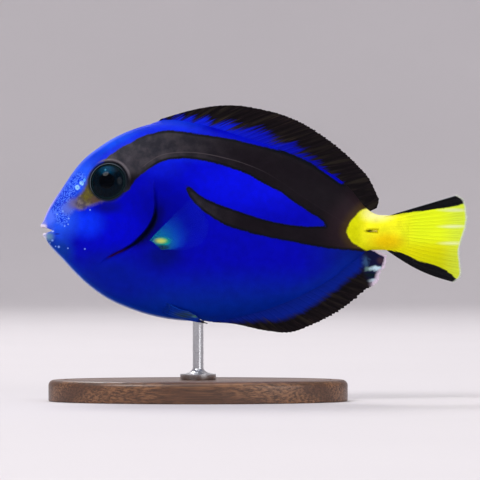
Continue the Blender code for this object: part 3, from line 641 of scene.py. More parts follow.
# The fins.
def fin_sheet(
    rays, rows, root, margin, flesh, ridge_height, spines=0, notch=0.03, ragged=0.0, bow=None, drift=None
):
    """A fin from its root line to its margin, with a ridge for each ray, which branches unless it is a spine.

    flesh is the thickness that the root adds, notch the depth of the bay between two ray tips, ragged how
    unevenly the margin is worn, bow how far the middle of a ray bends aside, and drift how far the fin waves
    out of its plane."""
    columns = (rays - 1) * RAY_COLUMNS
    bpy.ops.mesh.primitive_grid_add(x_subdivisions=columns, y_subdivisions=rows, size=2)
    fin = bpy.context.object
    grid = places(fin)
    along, out = (grid[:, 0] + 1) / 2, (grid[:, 1] + 1) / 2
    number = along * (rays - 1)
    phase = np.abs(number - np.round(number))
    soft = np.round(number) >= spines
    first = soft * 0.2 * ease(out, 0.4, 1)
    second = soft * 0.075 * ease(out, 0.68, 1)
    ridge = np.maximum(hump(phase, first + second, 0.085), hump(phase, first - second, 0.085))
    worn = np.random.default_rng(rays * 31 + rows).random(columns + 1)
    worn = np.interp(along * columns, np.arange(columns + 1), (worn + np.roll(worn, 1)) / 2)
    depth, tear = (share(along) if callable(share) else share for share in (notch, ragged))
    bay = (1 - 0.4 * np.cos(2 * math.pi * phase) - 0.6 * np.cos(4 * math.pi * phase)) / 2
    reach = out * (1 - depth * bay * ease(out, 0.5, 1)) - tear * worn * ease(out, 0.7, 1) * out
    start, end = root(along), margin(along)
    points = start + (end - start) * reach[:, None]
    if bow:
        points += bow(along) * np.sin(math.pi * reach)[:, None]
    if drift:
        points += points_at(0, drift(along, reach), 0)
    put_places(fin, in_model(points))
    wanted = (MEMBRANE + flesh * (1 - out) ** 3 + ridge * ridge_height * (1 - 0.75 * out)) * MM
    group = fin.vertex_groups.new(name="thickness")
    thickest = float(wanted.max())
    for index, value in enumerate(wanted / thickest):
        group.add([index], float(value), "REPLACE")
    store(fin, ray=ridge, reach=reach, ray_number=number)
    select_only(fin)
    shell = fin.modifiers.new("thickness", "SOLIDIFY")
    shell.thickness = thickest
    shell.offset = 0
    shell.vertex_group = group.name
    bpy.ops.object.modifier_apply(modifier=shell.name)
    face_outwards(fin)
    fin.data.shade_smooth()
    return fin


def root_along(ends, line, sink):
    """A fin's root along the back or the belly, sunk into the body."""

    def root(along):
        x = ends[0] + (ends[1] - ends[0]) * along
        return points_at(x, 0, line(x) - sink)

    return root


def margin_line(points, side=0):
    lines = smooth_lines(points)
    out = lines[2] if len(lines) > 2 else lambda along: 0 * along
    return lambda along: points_at(lines[0](along), side * out(along), lines[1](along))


def make_dorsal_fin():
    fin = fin_sheet(
        DORSAL_RAYS, 36, root_along(DORSAL_ROOT, back_line, ROOT_SINK), margin_line(DORSAL_MARGIN), 0.8, 0.3,
        spines=DORSAL_SPINES, notch=lambda along: 0.015 + 0.02 * ease(along, 0.3, 0.6), ragged=0.015,
        drift=lambda along, reach: 0.5 * np.sin(9 * along + 0.6) * ease(along, 0.3, 0.8) * reach ** 1.5,
    )
    x, out, z = fish_places(fin)
    store(fin, dark=height_over(drawn(BLACK_ON_DORSAL), x, z))
    return finish_piece(fin, "dorsal_fin_skin", back_fin_finish(), "dark_fin", "dorsal_fin")


def make_anal_fin():
    fin = fin_sheet(
        ANAL_RAYS, 36, root_along(ANAL_ROOT, belly_line, -ROOT_SINK), margin_line(ANAL_MARGIN), 0.8, 0.2,
        spines=ANAL_SPINES, notch=lambda along: 0.02 + 0.03 * ease(along, 0.3, 0.6),
        ragged=lambda along: 0.02 + 0.05 * ease(along, 0.75, 0.95),
        drift=lambda along, reach: 0.55 * np.sin(10 * along + 1.2) * ease(along, 0.3, 0.8) * reach ** 1.5,
    )
    x, out, z = fish_places(fin)
    worn = ease(x - 0.6 * np.maximum(-11 - z, 0), 88.8, 91.2)
    store(fin, dark=-height_over(drawn(BLACK_ON_ANAL), x, z), worn=worn)
    return finish_piece(fin, "anal_fin_skin", worn_fin_finish(), "dark_fin", "anal_fin")


def make_tail_fin():
    root_x, top, bottom = CAUDAL_ROOT
    fin = fin_sheet(
        CAUDAL_RAYS, 56, lambda along: points_at(root_x, 0, top + (bottom - top) * along),
        margin_line(CAUDAL_MARGIN), 1.5, 0.4, notch=0.008, ragged=0.012,
        bow=lambda along: points_at(0, 0, -CAUDAL_BOW * along * along),
        drift=lambda along, reach: 0.45 * np.sin(6 * along + 0.4) * reach ** 2,
    )
    x, out, z = fish_places(fin)
    store(fin, in_black=tail_black(x, z))
    return finish_piece(fin, "tail_fin_skin", tail_finish(), "yellow_skin", "tail_fin")


def make_pectoral_fin(side, word):
    (first_x, first_z), (last_x, last_z) = PECTORAL_ROOT
    flat = margin_line(PECTORAL_MARGIN)

    def root(along):
        x, z = first_x + (last_x - first_x) * along, first_z + (last_z - first_z) * along
        return points_at(x, side * (side_of(x, z) - ROOT_SINK), z)

    def margin(along):
        begin, end = root(along), flat(along)
        reach = np.hypot(end[:, 0] - begin[:, 0], end[:, 2] - begin[:, 2])
        end[:, 1] = begin[:, 1] + side * (ROOT_SINK + reach * math.tan(PECTORAL_SPREAD))
        return end

    fin = fin_sheet(
        PECTORAL_RAYS, 48, root, margin, 0.6, 0.14, spines=1, notch=0.02, ragged=0.015,
        bow=lambda along: points_at(0, side * PECTORAL_BOW, 0),
        drift=lambda along, reach: side * 0.35 * np.sin(7 * along) * reach ** 2,
    )
    name = f"pectoral_fin_skin_{word}"
    return finish_piece(fin, name, clear_fin_finish(), "clear_fin", f"pectoral_fin_{word}")


def make_pelvic_fin(side, word):
    fin = fin_sheet(
        PELVIC_RAYS, 40, margin_line(PELVIC_ROOT, side), margin_line(PELVIC_MARGIN, side), 0.5, 0.4,
        spines=1, notch=0.06, ragged=0.03, bow=lambda along: points_at(0, side * PELVIC_BOW, -PELVIC_BOW),
    )
    return finish_piece(fin, f"pelvic_fin_skin_{word}", belly_fin_finish(), "dark_fin", f"pelvic_fin_{word}")


# Eyes, tail spines and stand.
def make_eye(side, word):
    """A flattened globe with a groove round the iris."""
    bpy.ops.mesh.primitive_uv_sphere_add(segments=72, ring_count=48, radius=1)
    eye = bpy.context.object
    points = places(eye)
    away = np.hypot(points[:, 0], points[:, 1])
    front = points[:, 2] > 0
    swell = 0.03 * (1 - ease(away, 0.5, 0.84)) - 0.02 * hump(away, 0.84, 0.035)
    points[:, 2] += np.where(front, swell, 0)
    points *= (EYE_RADIUS, EYE_RADIUS, EYE_DEPTH)
    put_places(eye, points)
    x, y = points[:, 0], points[:, 1]
    store(eye, from_middle=np.where(front, np.hypot(x, y), EYE_RADIUS), round_middle=np.arctan2(y, x))
    spot, direction = skin_spot(*EYE_PLACE, side)
    set_down(eye, spot - direction * (EYE_DEPTH - EYE_PROUD), turned_to(direction))
    return finish_piece(eye, f"eye_globe_{word}", eye_finish(), "eye", f"eye_{word}")


def make_tail_spine(side, word):
    """The sharp spine that lies folded in its slot, point forwards."""
    bpy.ops.mesh.primitive_cone_add(
        vertices=24, radius1=SPINE_RADIUS, radius2=0.03, depth=SPINE_LENGTH, end_fill_type="TRIFAN"
    )
    spine = bpy.context.object
    edit_faces(spine, lambda: bpy.ops.mesh.subdivide(number_cuts=5))
    points = places(spine)
    along = points[:, 2] / SPINE_LENGTH + 0.5
    points[:, 0] = points[:, 0] * 0.75 + 0.22 * along ** 2
    put_places(spine, points)
    spot, direction = skin_spot(*SPINE_PLACE, side)
    roll = Matrix.Rotation(side * math.pi / 2, 4, "Z")
    set_down(spine, spot - direction * SPINE_RADIUS * 0.7, turned_to((-1, 0, 0)) @ roll)
    return finish_piece(spine, f"tail_spine_horn_{word}", spine_finish(), "spine", f"tail_spine_{word}")


def make_stand_base():
    """An oval plate with a rounded upper edge, a small chamfer at the floor, and a groove round its top."""
    bpy.ops.mesh.primitive_cylinder_add(vertices=128, radius=1, depth=1, location=(0, 0, 0))
    base = bpy.context.object
    base.data.transform(Matrix.Translation((0, 0, 0.5)))
    size = (BASE_HALF_LENGTH * MM, BASE_HALF_WIDTH * MM, BASE_THICKNESS * MM, 1)
    base.data.transform(Matrix.Diagonal(size))
    select_only(base)
    rounding = base.modifiers.new("rounding", "BEVEL")
    rounding.width = BASE_ROUNDING * MM
    rounding.segments = 6
    rounding.limit_method = "WEIGHT"
    weight = base.data.attributes.new("bevel_weight_edge", "FLOAT", "EDGE")
    for edge in base.data.edges:
        heights = [base.data.vertices[i].co.z for i in edge.vertices]
        weight.data[edge.index].value = 1 if min(heights) > MM else (0.25 if max(heights) < MM else 0)
    bpy.ops.object.modifier_apply(modifier=rounding.name)

    def cut_groove():
        for inwards, deep in BASE_GROOVE:
            bpy.ops.mesh.inset(thickness=inwards * MM, depth=deep * MM)

    edit_faces(base, cut_groove, triples(base.data.polygons, "normal")[:, 2] > 0.999)
    select_only(base)
    bpy.ops.object.shade_smooth_by_angle(angle=math.radians(32))
    return finish_piece(base, "stand_base_wood", wood_finish(), "stand_wood", "stand_base")


def make_stand_rod():
    """A turned rod with a spreading foot, spun from its half profile."""
    low = BASE_THICKNESS + 0.02
    high = MOUTH_HEIGHT + float(belly_line(ROD_FROM_SNOUT)) + ROD_IN_BODY
    spread = ROD_FOOT_RADIUS - ROD_RADIUS
    cove = [
        (ROD_RADIUS + spread * (1 - math.cos(a)), low + ROD_FOOT_HEIGHT + spread * 0.5 * (1 - math.sin(a)))
        for a in np.radians(np.linspace(0, 90, 13))
    ]
    edge = [(ROD_FOOT_RADIUS, low + 0.25), (ROD_FOOT_RADIUS - 0.2, low)]
    profile = [(0, high), (ROD_RADIUS - 0.3, high), (ROD_RADIUS, high - 0.3), *cove, *edge, (0, low)]
    rod = spun("rod", [(r * MM, z * MM) for r, z in profile], 64, merge=0.005 * MM)
    bpy.ops.object.shade_smooth_by_angle(angle=math.radians(40))
    return finish_piece(rod, "stand_rod_steel", steel_finish(), "stand_steel", "stand_rod")


# Finishes. A shade is a colour as seen on a screen, 0 to 255. A mask says where a shade shows: an output,
# a number, the name of a value, a name with where the value rises, or the middle and reach of a soft patch.
def colour(shade):
    """The shade as light."""
    shares = np.array(shade) / 255
    light = np.where(shares <= 0.04045, shares / 12.92, ((shares + 0.055) / 1.055) ** 2.4)
    return tuple(float(value) for value in light)


class Nodes:
    """The nodes of a material or group. Each method adds some, and most give back the last one's output."""

    def __init__(self, made, tree, end):
        """made is the material or group, and end the node that takes what it shows."""
        self.made, self.tree, self.end = made, tree, end
        self.known = {}

    def add(self, kind, inputs, **settings):
        made = self.tree.nodes.new(kind)
        for name, value in settings.items():
            setattr(made, name, value)
        for key, value in inputs.items():
            self.put(made.inputs[key], value)
        return made

    def put(self, socket, value):
        """Joins an output or a named value to a socket, or sets the socket's own value."""
        if isinstance(value, str):
            value = self.value(value)
        if isinstance(value, bpy.types.NodeSocket):
            self.tree.links.new(value, socket)
        elif socket.type == "RGBA":
            socket.default_value = (*colour(value), 1)
        else:
            socket.default_value = value

    def value(self, name):
        """The place in millimetres, x from the snout, z from the mouth, or what the piece stores by name."""
        if name not in self.known:
            if name == "place":
                inputs = {0: self.add("ShaderNodeTexCoord", {}).outputs["Object"], "Scale": 1 / MM}
                found = self.add("ShaderNodeVectorMath", inputs, operation="SCALE").outputs[0]
            elif name == "x":
                found = self.math("ADD", self.split()[0], ROD_FROM_SNOUT)
            elif name == "z":
                found = self.math("SUBTRACT", self.split()[2], MOUTH_HEIGHT)
            else:
                found = self.add("ShaderNodeAttribute", {}, attribute_name=name).outputs["Fac"]
            self.known[name] = found
        return self.known[name]

    def split(self):
        """The three numbers of the place."""
        return self.add("ShaderNodeSeparateXYZ", {0: "place"}).outputs

    def joined(self, *numbers):
        return self.add("ShaderNodeCombineXYZ", dict(enumerate(numbers))).outputs[0]

    def math(self, operation, *values, clamp=False):
        made = self.add("ShaderNodeMath", dict(enumerate(values)), operation=operation, use_clamp=clamp)
        return made.outputs[0]

    def times(self, first, second):
        return self.math("MULTIPLY", first, second)

    def scaled(self, value, by, more):
        """The value times by, plus more."""
        return self.math("MULTIPLY_ADD", value, by, more)

    def rise(self, value, low, high, start=0, end=1):
        """start at low and end at high, with a smooth change between."""
        inputs = {"Value": value, "From Min": low, "From Max": high, "To Min": start, "To Max": end}
        return self.add("ShaderNodeMapRange", inputs, interpolation_type="SMOOTHSTEP").outputs["Result"]

    def patch(self, middle, reach, core=0.15):
        """A soft oval patch, seen from the side: 1 in its core and 0 outside."""
        squares = [
            self.math("POWER", self.math("DIVIDE", self.math("SUBTRACT", axis, at), size), 2)
            for axis, at, size in zip(("x", "z"), middle, reach)
        ]
        return self.rise(self.math("SQRT", self.math("ADD", *squares)), 1, core)

    def mask(self, mask):
        """What a mask in its short form stands for."""
        if not isinstance(mask, tuple):
            return mask
        return self.patch(*mask) if isinstance(mask[0], tuple) else self.rise(*mask)

    def mix(self, share, first, second, blend="MIX"):
        inputs = {0: self.mask(share), 6: first, 7: second}
        return self.add("ShaderNodeMix", inputs, data_type="RGBA", blend_type=blend).outputs[2]

    def paint(self, under, *layers):
        """Paints layers over what is there. A layer is a shade and its masks, and shows where all are."""
        for shade, first, *others in layers:
            share = self.mask(first)
            for other in others:
                share = self.times(share, self.mask(other))
            under = self.mix(share, under, shade)
        return under

    def noise(self, size, detail=2, roughness=0.6, place="place", stretch=None):
        """Even noise, about 0 to 1, with patches of this size in the place's units."""
        if stretch:
            place = self.add("ShaderNodeVectorMath", {0: place, 1: stretch}, operation="MULTIPLY").outputs[0]
        inputs = {"Vector": place, "Scale": 1 / size, "Detail": detail, "Roughness": roughness}
        return self.add("ShaderNodeTexNoise", inputs).outputs["Fac"]

    def bump(self, height, strength, distance):
        inputs = {"Strength": strength, "Distance": distance * MM, "Height": height}
        return self.add("ShaderNodeBump", inputs).outputs[0]

    def group(self, tree, **values):
        inputs = {socket_name(name): value for name, value in values.items()}
        return self.add("ShaderNodeGroup", inputs, node_tree=tree).outputs

    def marking(self, depth, unevenness, softness):
        """Where a marking is, from the depth inside it, with an uneven edge."""
        values = {"depth": depth, "unevenness": unevenness, "softness": softness}
        return self.group(marking_edge, place="place", **values)[0]

    def show(self, **values):
        """Puts these into the end node, and gives back the material or group."""
        for name, value in values.items():
            self.put(self.end.inputs[name.replace("_", " ")], value)
        return self.made


def socket_name(name):
    return name.replace("_", " ").capitalize()


def new_finish(name, **settings):
    """The nodes of a new material, with the surface's own settings."""
    material = bpy.data.materials.new(name)
    material.use_nodes = True
    nodes = Nodes(material, material.node_tree, material.node_tree.nodes["Principled BSDF"])
    nodes.show(**settings)
    return nodes


def new_group(name, outputs, **inputs):
    """The nodes of a new group, which know its inputs by name: numbers, and a place where None is given."""
    tree = bpy.data.node_groups.new(name, "ShaderNodeTree")
    for word, value in inputs.items():
        kind = "NodeSocketVector" if value is None else "NodeSocketFloat"
        socket = tree.interface.new_socket(socket_name(word), in_out="INPUT", socket_type=kind)
        if value is not None:
            socket.default_value = value
    for word in outputs:
        kind = "NodeSocketColor" if word == "Shade" else "NodeSocketFloat"
        tree.interface.new_socket(word, in_out="OUTPUT", socket_type=kind)
    nodes = Nodes(tree, tree, tree.nodes.new("NodeGroupOutput"))
    given = tree.nodes.new("NodeGroupInput").outputs
    nodes.known = {word: given[socket_name(word)] for word in inputs}
    return nodes


def scaled_skin_group():
    """Tiny rough scales: their height, and how they vary the colour."""
    nodes = new_group("tiny_scales", ("Height", "Tone"), place=None, scale_size=0.5)
    inputs = {"Vector": "place", "Scale": nodes.math("DIVIDE", 1, "scale_size")}
    cells = nodes.add("ShaderNodeTexVoronoi", inputs, feature="F1")
    dome = nodes.rise(cells.outputs["Distance"], 0.1, 0.75, 1, 0)
    grain, patches = nodes.noise(0.17), nodes.noise(2.6, 3, 0.55)
    tone = nodes.scaled(patches, 0.6, nodes.times(grain, 0.4))
    return nodes.show(Height=nodes.scaled(grain, 0.35, dome), Tone=tone)


def torn_edge_group():
    """A marking's edge, from the depth inside it: sharp, and a little uneven."""
    nodes = new_group("marking_edge", ("Inside",), depth=0, place=None, unevenness=0.5, softness=0.2)
    coarse, fine = (nodes.math("SUBTRACT", nodes.noise(*noise), 0.5) for noise in ((2.2, 3), (0.45, 2)))
    depth = nodes.scaled(nodes.scaled(fine, 0.55, coarse), "unevenness", "depth")
    return nodes.show(Inside=nodes.rise(depth, nodes.times("softness", -1), "softness"))


def fin_ray_group():
    """Rays on a fin: fine crosswise joints, and streaks and broader fingers along the rays."""
    nodes = new_group("fin_rays", ("Height", "Streak", "Finger"), ray=0, reach=0, ray_number=0)
    narrow = nodes.joined(nodes.times("ray_number", 3.5), nodes.times("reach", 1.4))
    broad = nodes.joined(nodes.times("ray_number", 1.1), nodes.times("reach", 0.9))
    streak, finger = nodes.noise(1, 3, 0.6, narrow), nodes.noise(1, 1, 0.5, broad)
    joints = nodes.times(nodes.math("SINE", nodes.times("reach", 260)), nodes.times("ray", 0.05))
    return nodes.show(Height=nodes.math("ADD", joints, "ray"), Streak=streak, Finger=finger)


def tail_yellow_group():
    """The yellow of the tail and its stalk: a pale painted highlight on top, orange below the middle, greener
    to the rear.
    """
    nodes = new_group("tail_yellow", ("Shade",), place=None, ray=0, streak=0.5)
    shade = nodes.paint(
        nodes.mix(("x", 97, 107), (255, 252, 34), (234, 255, 30)),
        # Painted highlight on top of the stalk.
        ((255, 253, 160), ((94, 4.6), (7, 3.2))),
        ((226, 226, 4), ("z", -1.5, -6)),
        ((246, 212, 6), ((97, -3.2), (7, 3.6))),
        ((222, 226, 4), ("x", 92, 88)),
        ((206, 212, 2), ((112, -11), (12, 8))),
        ((204, 228, 72), ("x", 111, 118, 0, 0.7)),
        *(((244, 250, 214), ((115.8, height), (6, 0.8)), "streak") for height in (5.6, 1, -3.7)),
        ((206, 190, 0), ("ray", 0.5, 0, 0, 0.1), ("x", 97, 103)),
        ((196, 190, 6), ("streak", 0.5, 0.75, 0, 0.2)),
    )
    return nodes.show(Shade=shade)


# The blues of the skin, one over the other, some painted light and shadow, and the pale line of the belly.
BLUES = (
    ((2, 26, 124), ((92, -6), (22, 20))),
    ((3, 10, 222), ((57, 13), (27, 12))),
    ((6, 20, 202), ((34, 18), (10, 6))),
    ((0, 1, 150), ((34.5, 5), (13, 13))),
    ((0, 3, 208), ((18, 1.5), (14, 9.5))),
    ((6, 48, 246), ((13, 2), (7, 6))),
    ((0, 22, 156), ((19, -14), (19, 11))),
    # Lighter along the top of the head, here and in two rows below: partly its own paler blue, partly painted
    # light from above.
    ((8, 48, 208), ((35, 29.5), (15, 6.5))),
    ((12, 60, 156), ((4, -6), (7, 6))),
    # Lighter top of the head: partly its own paler blue, partly painted light from above.
    ((14, 72, 228), ((22, 24), (14, 8))),
    ((34, 88, 250), ((10, 15), (11, 10))),
    ((34, 86, 246), ((5, 3), (8, 9))),
    # Painted shadow under the eye.
    ((3, 7, 140), ((19, 6.5), (6, 3))),
    # Painted shadow under the pectoral fin.
    ((0, 10, 132), ((34, -7.4), (8.5, 6.4))),
    # Lighter along the belly's edge toward the tail: painted light against the shading where the body turns
    # down.
    ((1, 40, 160), ("over_belly", 4, 0.3, 0, 0.6), ("x", 92, 84)),
    # The belly's pale edge and the thin pale line along it: painted rim light, partly the paler keel.
    ((4, 62, 172), ("over_belly", 1.6, 0.2), ("x", 50, 42)),
    ((186, 202, 246), ("over_belly", 0.62, -0.05), ("x", 46, 38)),
    ((8, 34, 222), ("in_band", -2.2, -0.6), ("z", 17, 21), ("x", 38, 52, 0.8, 0.2)),
)
# White lips, a pale rim of painted light up the snout, greyer skin behind the lower lip, a dark line at the
# corner.
MOUTH_MARKS = (
    # Painted rim light along the top of the snout.
    ((206, 190, 252), ("under_back", 0.7, -0.1), ("x", 7, 2)),
    ((110, 154, 184), ((2.2, -1.8), (2.2, 2), 0)),
    ((22, 36, 150), ((4.6, -1.1), (1.2, 0.28))),
    ((112, 132, 236), "on_lips", 0.6),
    ((160, 184, 250), ((3.3, -0.35), (0.65, 0.4))),
    ((206, 212, 240), ((1, -2.3), (0.9, 1.1))),
    ((244, 236, 250), "on_lips", ("x", 2.2, 1.1)),
    ((240, 230, 250), ((0.5, 1.1), (1.5, 0.8))),
    ((190, 150, 160), ("in_mouth", 0.1, 0.6)),
    # Darkest deep in the mouth: painted shade of the throat.
    ((40, 18, 28), ("in_mouth", 0.8, 1)),
)
# Round the eye: a dark rim, a lighter fold and a painted shadow line above, and a pale ring on the upper
# front.
EYE_RIM = (
    ((34, 36, 46), ("from_eye", 6.4, 5.5), ("z", 9, 14, 0.3, 0.6)),
    ((100, 94, 100), ("from_eye", 5.7, 6.3), ("from_eye", 6.9, 6.3), ("z", 13.5, 17.5), ("x", 15, 18)),
    # Painted shadow in the groove under the fold, strongest above the eye.
    ((9, 12, 20), ("from_eye", 5.3, 5.6), ("from_eye", 5.85, 5.55), ("z", 12, 16, 0.35, 0.9)),
    ((18, 28, 36), ("from_eye", 5.5, 5.3)),
    ((104, 114, 122), ("from_eye", 4.98, 5.18), ("from_eye", 5.3, 5.1), ("leaning", 12.5, 16.5, 0.08, 0.9)),
    ((8, 12, 18), ("from_eye", 5, 4.88)),
)


def snout_marks(nodes, skin):
    """Fine squiggles and single pale dots on the snout."""
    nodes.known["wave"] = nodes.math("ABSOLUTE", nodes.math("SUBTRACT", nodes.noise(0.74, 1, 0.5), 0.5))
    speckled = nodes.rise("in_speckles", -0.7, 0.8)
    return nodes.paint(
        skin,
        # Painted rim light along the head's top profile, back to the forehead.
        ((100, 128, 246), ("under_back", 1.2, -0.3), ("x", 28, 18)),
        ((92, 138, 255), speckled, ("wave", 0.05, 0.1, 0, 0.6)),
        ((2, 30, 206), speckled, ("wave", 0.05, 0.02, 0, 0.85)),
        ((80, 116, 255), ((2.4, 3.6), (2.8, 3.2))),
        ((88, 110, 220), ((7.4, 6), (2.8, 2.6))),
        ((104, 100, 156), ((9.4, 7.4), (2.8, 2.4))),
        *(((130, 168, 246), ((x, z), (DOT_REACH * radius,) * 2)) for x, z, radius in PALE_DOTS),
    )


def olive_marks(nodes, skin):
    """The olive patch before the eye, and the pale nostrils."""
    mixed = nodes.noise(0.9)
    golden = nodes.mix((mixed, 0.4, 0.65), (84, 76, 30), (102, 94, 16))
    olive = nodes.paint(
        nodes.mix((mixed, 0.35, 0.65), (80, 72, 88), (116, 106, 106)),
        (golden, ((13.2, 11), (3.2, 4.8), 0.5)),
        ((88, 68, 48), ((15.4, 8.4), (3, 1.6))),
    )
    wobble = nodes.math("SUBTRACT", nodes.noise(1.1), 0.5)
    return nodes.paint(
        skin,
        (olive, nodes.marking("in_olive", 1.2, 0.8), 0.98),
        ((150, 206, 255), (nodes.scaled(wobble, 0.9, "from_nostril"), 0.85, 0.4)),
        ((90, 170, 250), ((12.3, 14), (0.55, 0.8))),
        ((122, 176, 226), ("from_nostril", 0.3, 0)),
    )


def band_shade(nodes):
    """The dark band: mottled grey in front, near black behind, brown before the yellow, and its thin line."""
    mottled = nodes.noise(3.5, 3)
    front = nodes.mix((mottled, 0.3, 0.7), (43, 43, 51), (69, 65, 71))
    rear = nodes.mix(mottled, (17, 12, 18), (27, 22, 28))
    from_line = nodes.math("ABSOLUTE", "over_lateral_line")
    return nodes.paint(
        nodes.mix(("x", 24, 60), front, rear),
        ((58, 40, 46), ("in_yellow", -9, -1, 0, 0.4)),
        ((74, 58, 22), ("in_yellow", -3, 0.2, 0, 0.75)),
        ((20, 17, 24), ((26, 13.6), (4.5, 4))),
        ((84, 76, 80), (from_line, 0.18, 0.04), ("x", 28, 29.5), ("x", 68, 46, 0.04, 0.6)),
        ((9, 14, 18), ("in_band", 1, 0.3, 0, 0.85), ("x", 24, 34)),
    )


def stalk_marks(nodes, skin):
    """The yellow tail stalk with its black edges, and painted shadow in the slot of the spine."""
    ray = nodes.rise(nodes.math("PINGPONG", "ray_number", 0.5), 0.24, 0.04)
    rays = nodes.group(fin_rays, ray=ray, reach="reach", ray_number="ray_number")
    yellow = nodes.group(tail_yellow, place="place", ray=ray, streak=rays["Streak"])[0]
    return nodes.paint(
        skin,
        (yellow, nodes.marking("in_yellow", 0.7, 0.3)),
        # Painted shadow in the spine's slot.
        ((70, 60, 8), ((92.1, -0.25), (2.1, 0.5))),
        ((14, 14, 20), nodes.marking("in_black", 0.4, 0.2)),
    )


def skin_finish():
    nodes = new_finish(
        "tang_skin", Roughness=0.42, Coat_Weight=0.02, Coat_Roughness=0.25, Specular_IOR_Level=0.03
    )
    nodes.known["leaning"] = nodes.scaled(nodes.math("SUBTRACT", "x", EYE_PLACE[0]), -0.8, "z")
    skin = nodes.mix(("z", -8, -24), (1, 2, 180), (1, 42, 156))
    skin = nodes.paint(skin, *BLUES)
    skin = olive_marks(nodes, snout_marks(nodes, skin))
    band = band_shade(nodes), nodes.marking("in_band", 0.75, 0.22)
    skin = nodes.paint(skin, *MOUTH_MARKS, band, *EYE_RIM)
    skin = stalk_marks(nodes, skin)
    # The gill slit, dark as the gap and as painted shadow under the cover's edge, reddish brown low down, and
    # a soft painted shadow behind it.
    slit = nodes.mix(("z", -4.5, -6.5), (0, 4, 30), (42, 4, 22))
    skin = nodes.paint(skin, ((0, 0, 84), "gill_shade", 0.8), (slit, "gill_slit", 0.94))
    scales = nodes.group(tiny_scales, place="place", scale_size=0.42)
    tone = nodes.rise(scales["Tone"], 0.3, 0.7, 0.86, 1.1)
    skin = nodes.mix(1, skin, nodes.joined(tone, tone, tone), "MULTIPLY")
    return nodes.show(
        Base_Color=skin, Roughness=nodes.rise(scales["Tone"], 0.3, 0.7, 0.5, 0.38),
        Normal=nodes.bump(scales["Height"], 0.35, 0.03),
    )


def fin_finish(name, strength=0.5, **settings):
    """The start of a fin's finish: its rays, the streaks along them, and the bump that both make."""
    nodes = new_finish(name, **{"Roughness": 0.5, "Specular_IOR_Level": 0.05, **settings})
    rays = nodes.group(fin_rays, ray="ray", reach="reach", ray_number="ray_number")
    nodes.known.update(streak=rays["Streak"], finger=rays["Finger"])
    nodes.show(Normal=nodes.bump(rays["Height"], strength, 0.05))
    return nodes


def dark_fin(name, streakiness, softness):
    """Blue at the root and black beyond, with brown streaks along the rays: its nodes, and the shade."""
    nodes = fin_finish(name, 0.35)
    uneven = nodes.scaled("streak", 0.8, nodes.scaled("finger", 0.8, -0.7))
    dark = nodes.marking(nodes.scaled(uneven, streakiness, "dark"), 0.6, softness)
    blue = nodes.paint(
        nodes.mix(("z", -10, 10), (1, 29, 136), (4, 11, 176)),
        ((1, 3, 138), ("z", 12, 16), ("x", 58, 76, 0, 0.8)),
        ((10, 36, 226), ("x", 62, 46, 0.1, 0.7), ("z", 14, 22)),
        ((16, 48, 236), ("z", 14, 22), ("streak", 0.5, 0.75, 0, 0.3)),
    )
    black = nodes.paint(
        nodes.mix("ray", (12, 8, 11), (22, 16, 19)),
        ((38, 33, 27), ("finger", 0.5, 0.7, 0, 0.7)),
        ((66, 52, 46), ("streak", 0.56, 0.76), ("x", 66, 84, 0.75, 0.25)),
    )
    return nodes, nodes.mix(dark, blue, black)


def back_fin_finish():
    nodes, shade = dark_fin("back_fin", 8, 1.1)
    return nodes.show(Base_Color=shade)


def worn_fin_finish():
    """The dark fin with a worn rear end: dark and bright streaks inside a clear whitish rim."""
    nodes, fin = dark_fin("belly_fin_worn", 1.8, 1.1)
    end = nodes.paint((14, 16, 54), ((58, 40, 54), ((95.2, -8.6), (1.6, 1.6))))
    # From here on the places are shifted a little to and fro, which frays the patches.
    shift = nodes.scaled(nodes.noise(1), 2, -1)
    nodes.known.update(x=nodes.math("ADD", "x", shift), z=nodes.scaled(shift, 0.5, "z"))
    last_ray = nodes.rise(nodes.scaled(shift, 0.1, "ray_number"), 25.72, 25.9)
    rim = nodes.rise(nodes.scaled(shift, 0.08, "reach"), 0.8, 0.92)
    rim = nodes.math("MAXIMUM", rim, nodes.times(last_ray, 0.9))
    end = nodes.paint(
        end,
        ((50, 78, 118), ((90.9, -9), (1.4, 2.8), 0.1)),
        ((98, 126, 124), ((91.8, -10.9), (1.9, 0.9), 0.25)),
        ((188, 216, 230), ((93.8, -10.8), (2.4, 1), 0.25)),
        ((8, 24, 34), ((92.6, -12.6), (3.4, 1), 0.25)),
        ((176, 198, 210), ((93.6, -14.2), (2.6, 0.8), 0.25)),
        ((232, 214, 234), rim),
    )
    clear = nodes.times(nodes.times("worn", rim), 0.45)
    return nodes.show(Base_Color=nodes.mix("worn", fin, end), Alpha=nodes.math("SUBTRACT", 1, clear))


def belly_fin_finish():
    """Blue as the belly, with greenish brown streaks along the rays and a dark tip."""
    nodes = fin_finish("belly_fin")
    fin = nodes.paint(
        nodes.mix("ray", (1, 44, 158), (4, 58, 170)),
        ((44, 68, 80), ((40.5, -23.7), (5.5, 1.7)), ("streak", 0.35, 0.6, 0.4, 1)),
        ((70, 118, 128), ((43.2, -24.2), (1.4, 0.5))),
        ((24, 16, 24), ("x", 43, 45.5)),
    )
    return nodes.show(Base_Color=fin, Alpha=nodes.rise("reach", 0.05, 0.4))


def tail_finish():
    """Yellow with a black band above and below, and frayed pale at the rear margin."""
    nodes = fin_finish("yellow_tail", Roughness=0.42, Coat_Weight=0.03, Coat_Roughness=0.25)
    streaked = nodes.scaled(nodes.math("SUBTRACT", "streak", 0.5), 0.8, "in_black")
    fringe = nodes.times(nodes.rise("reach", 0.955, 0.985), nodes.rise("streak", 0.3, 0.5, 0.45, 1))
    fin = nodes.paint(
        nodes.group(tail_yellow, place="place", ray="ray", streak="streak")[0],
        (nodes.mix("ray", (11, 11, 15), (20, 20, 23)), nodes.marking(streaked, 0.4, 0.2)),
        ((170, 176, 180), ("ray_number", 0.14, 0.04, 0, 0.8)),
        ((224, 230, 214), fringe),
    )
    return nodes.show(Base_Color=fin, Alpha=nodes.math("SUBTRACT", 1, nodes.times(fringe, 0.3)))


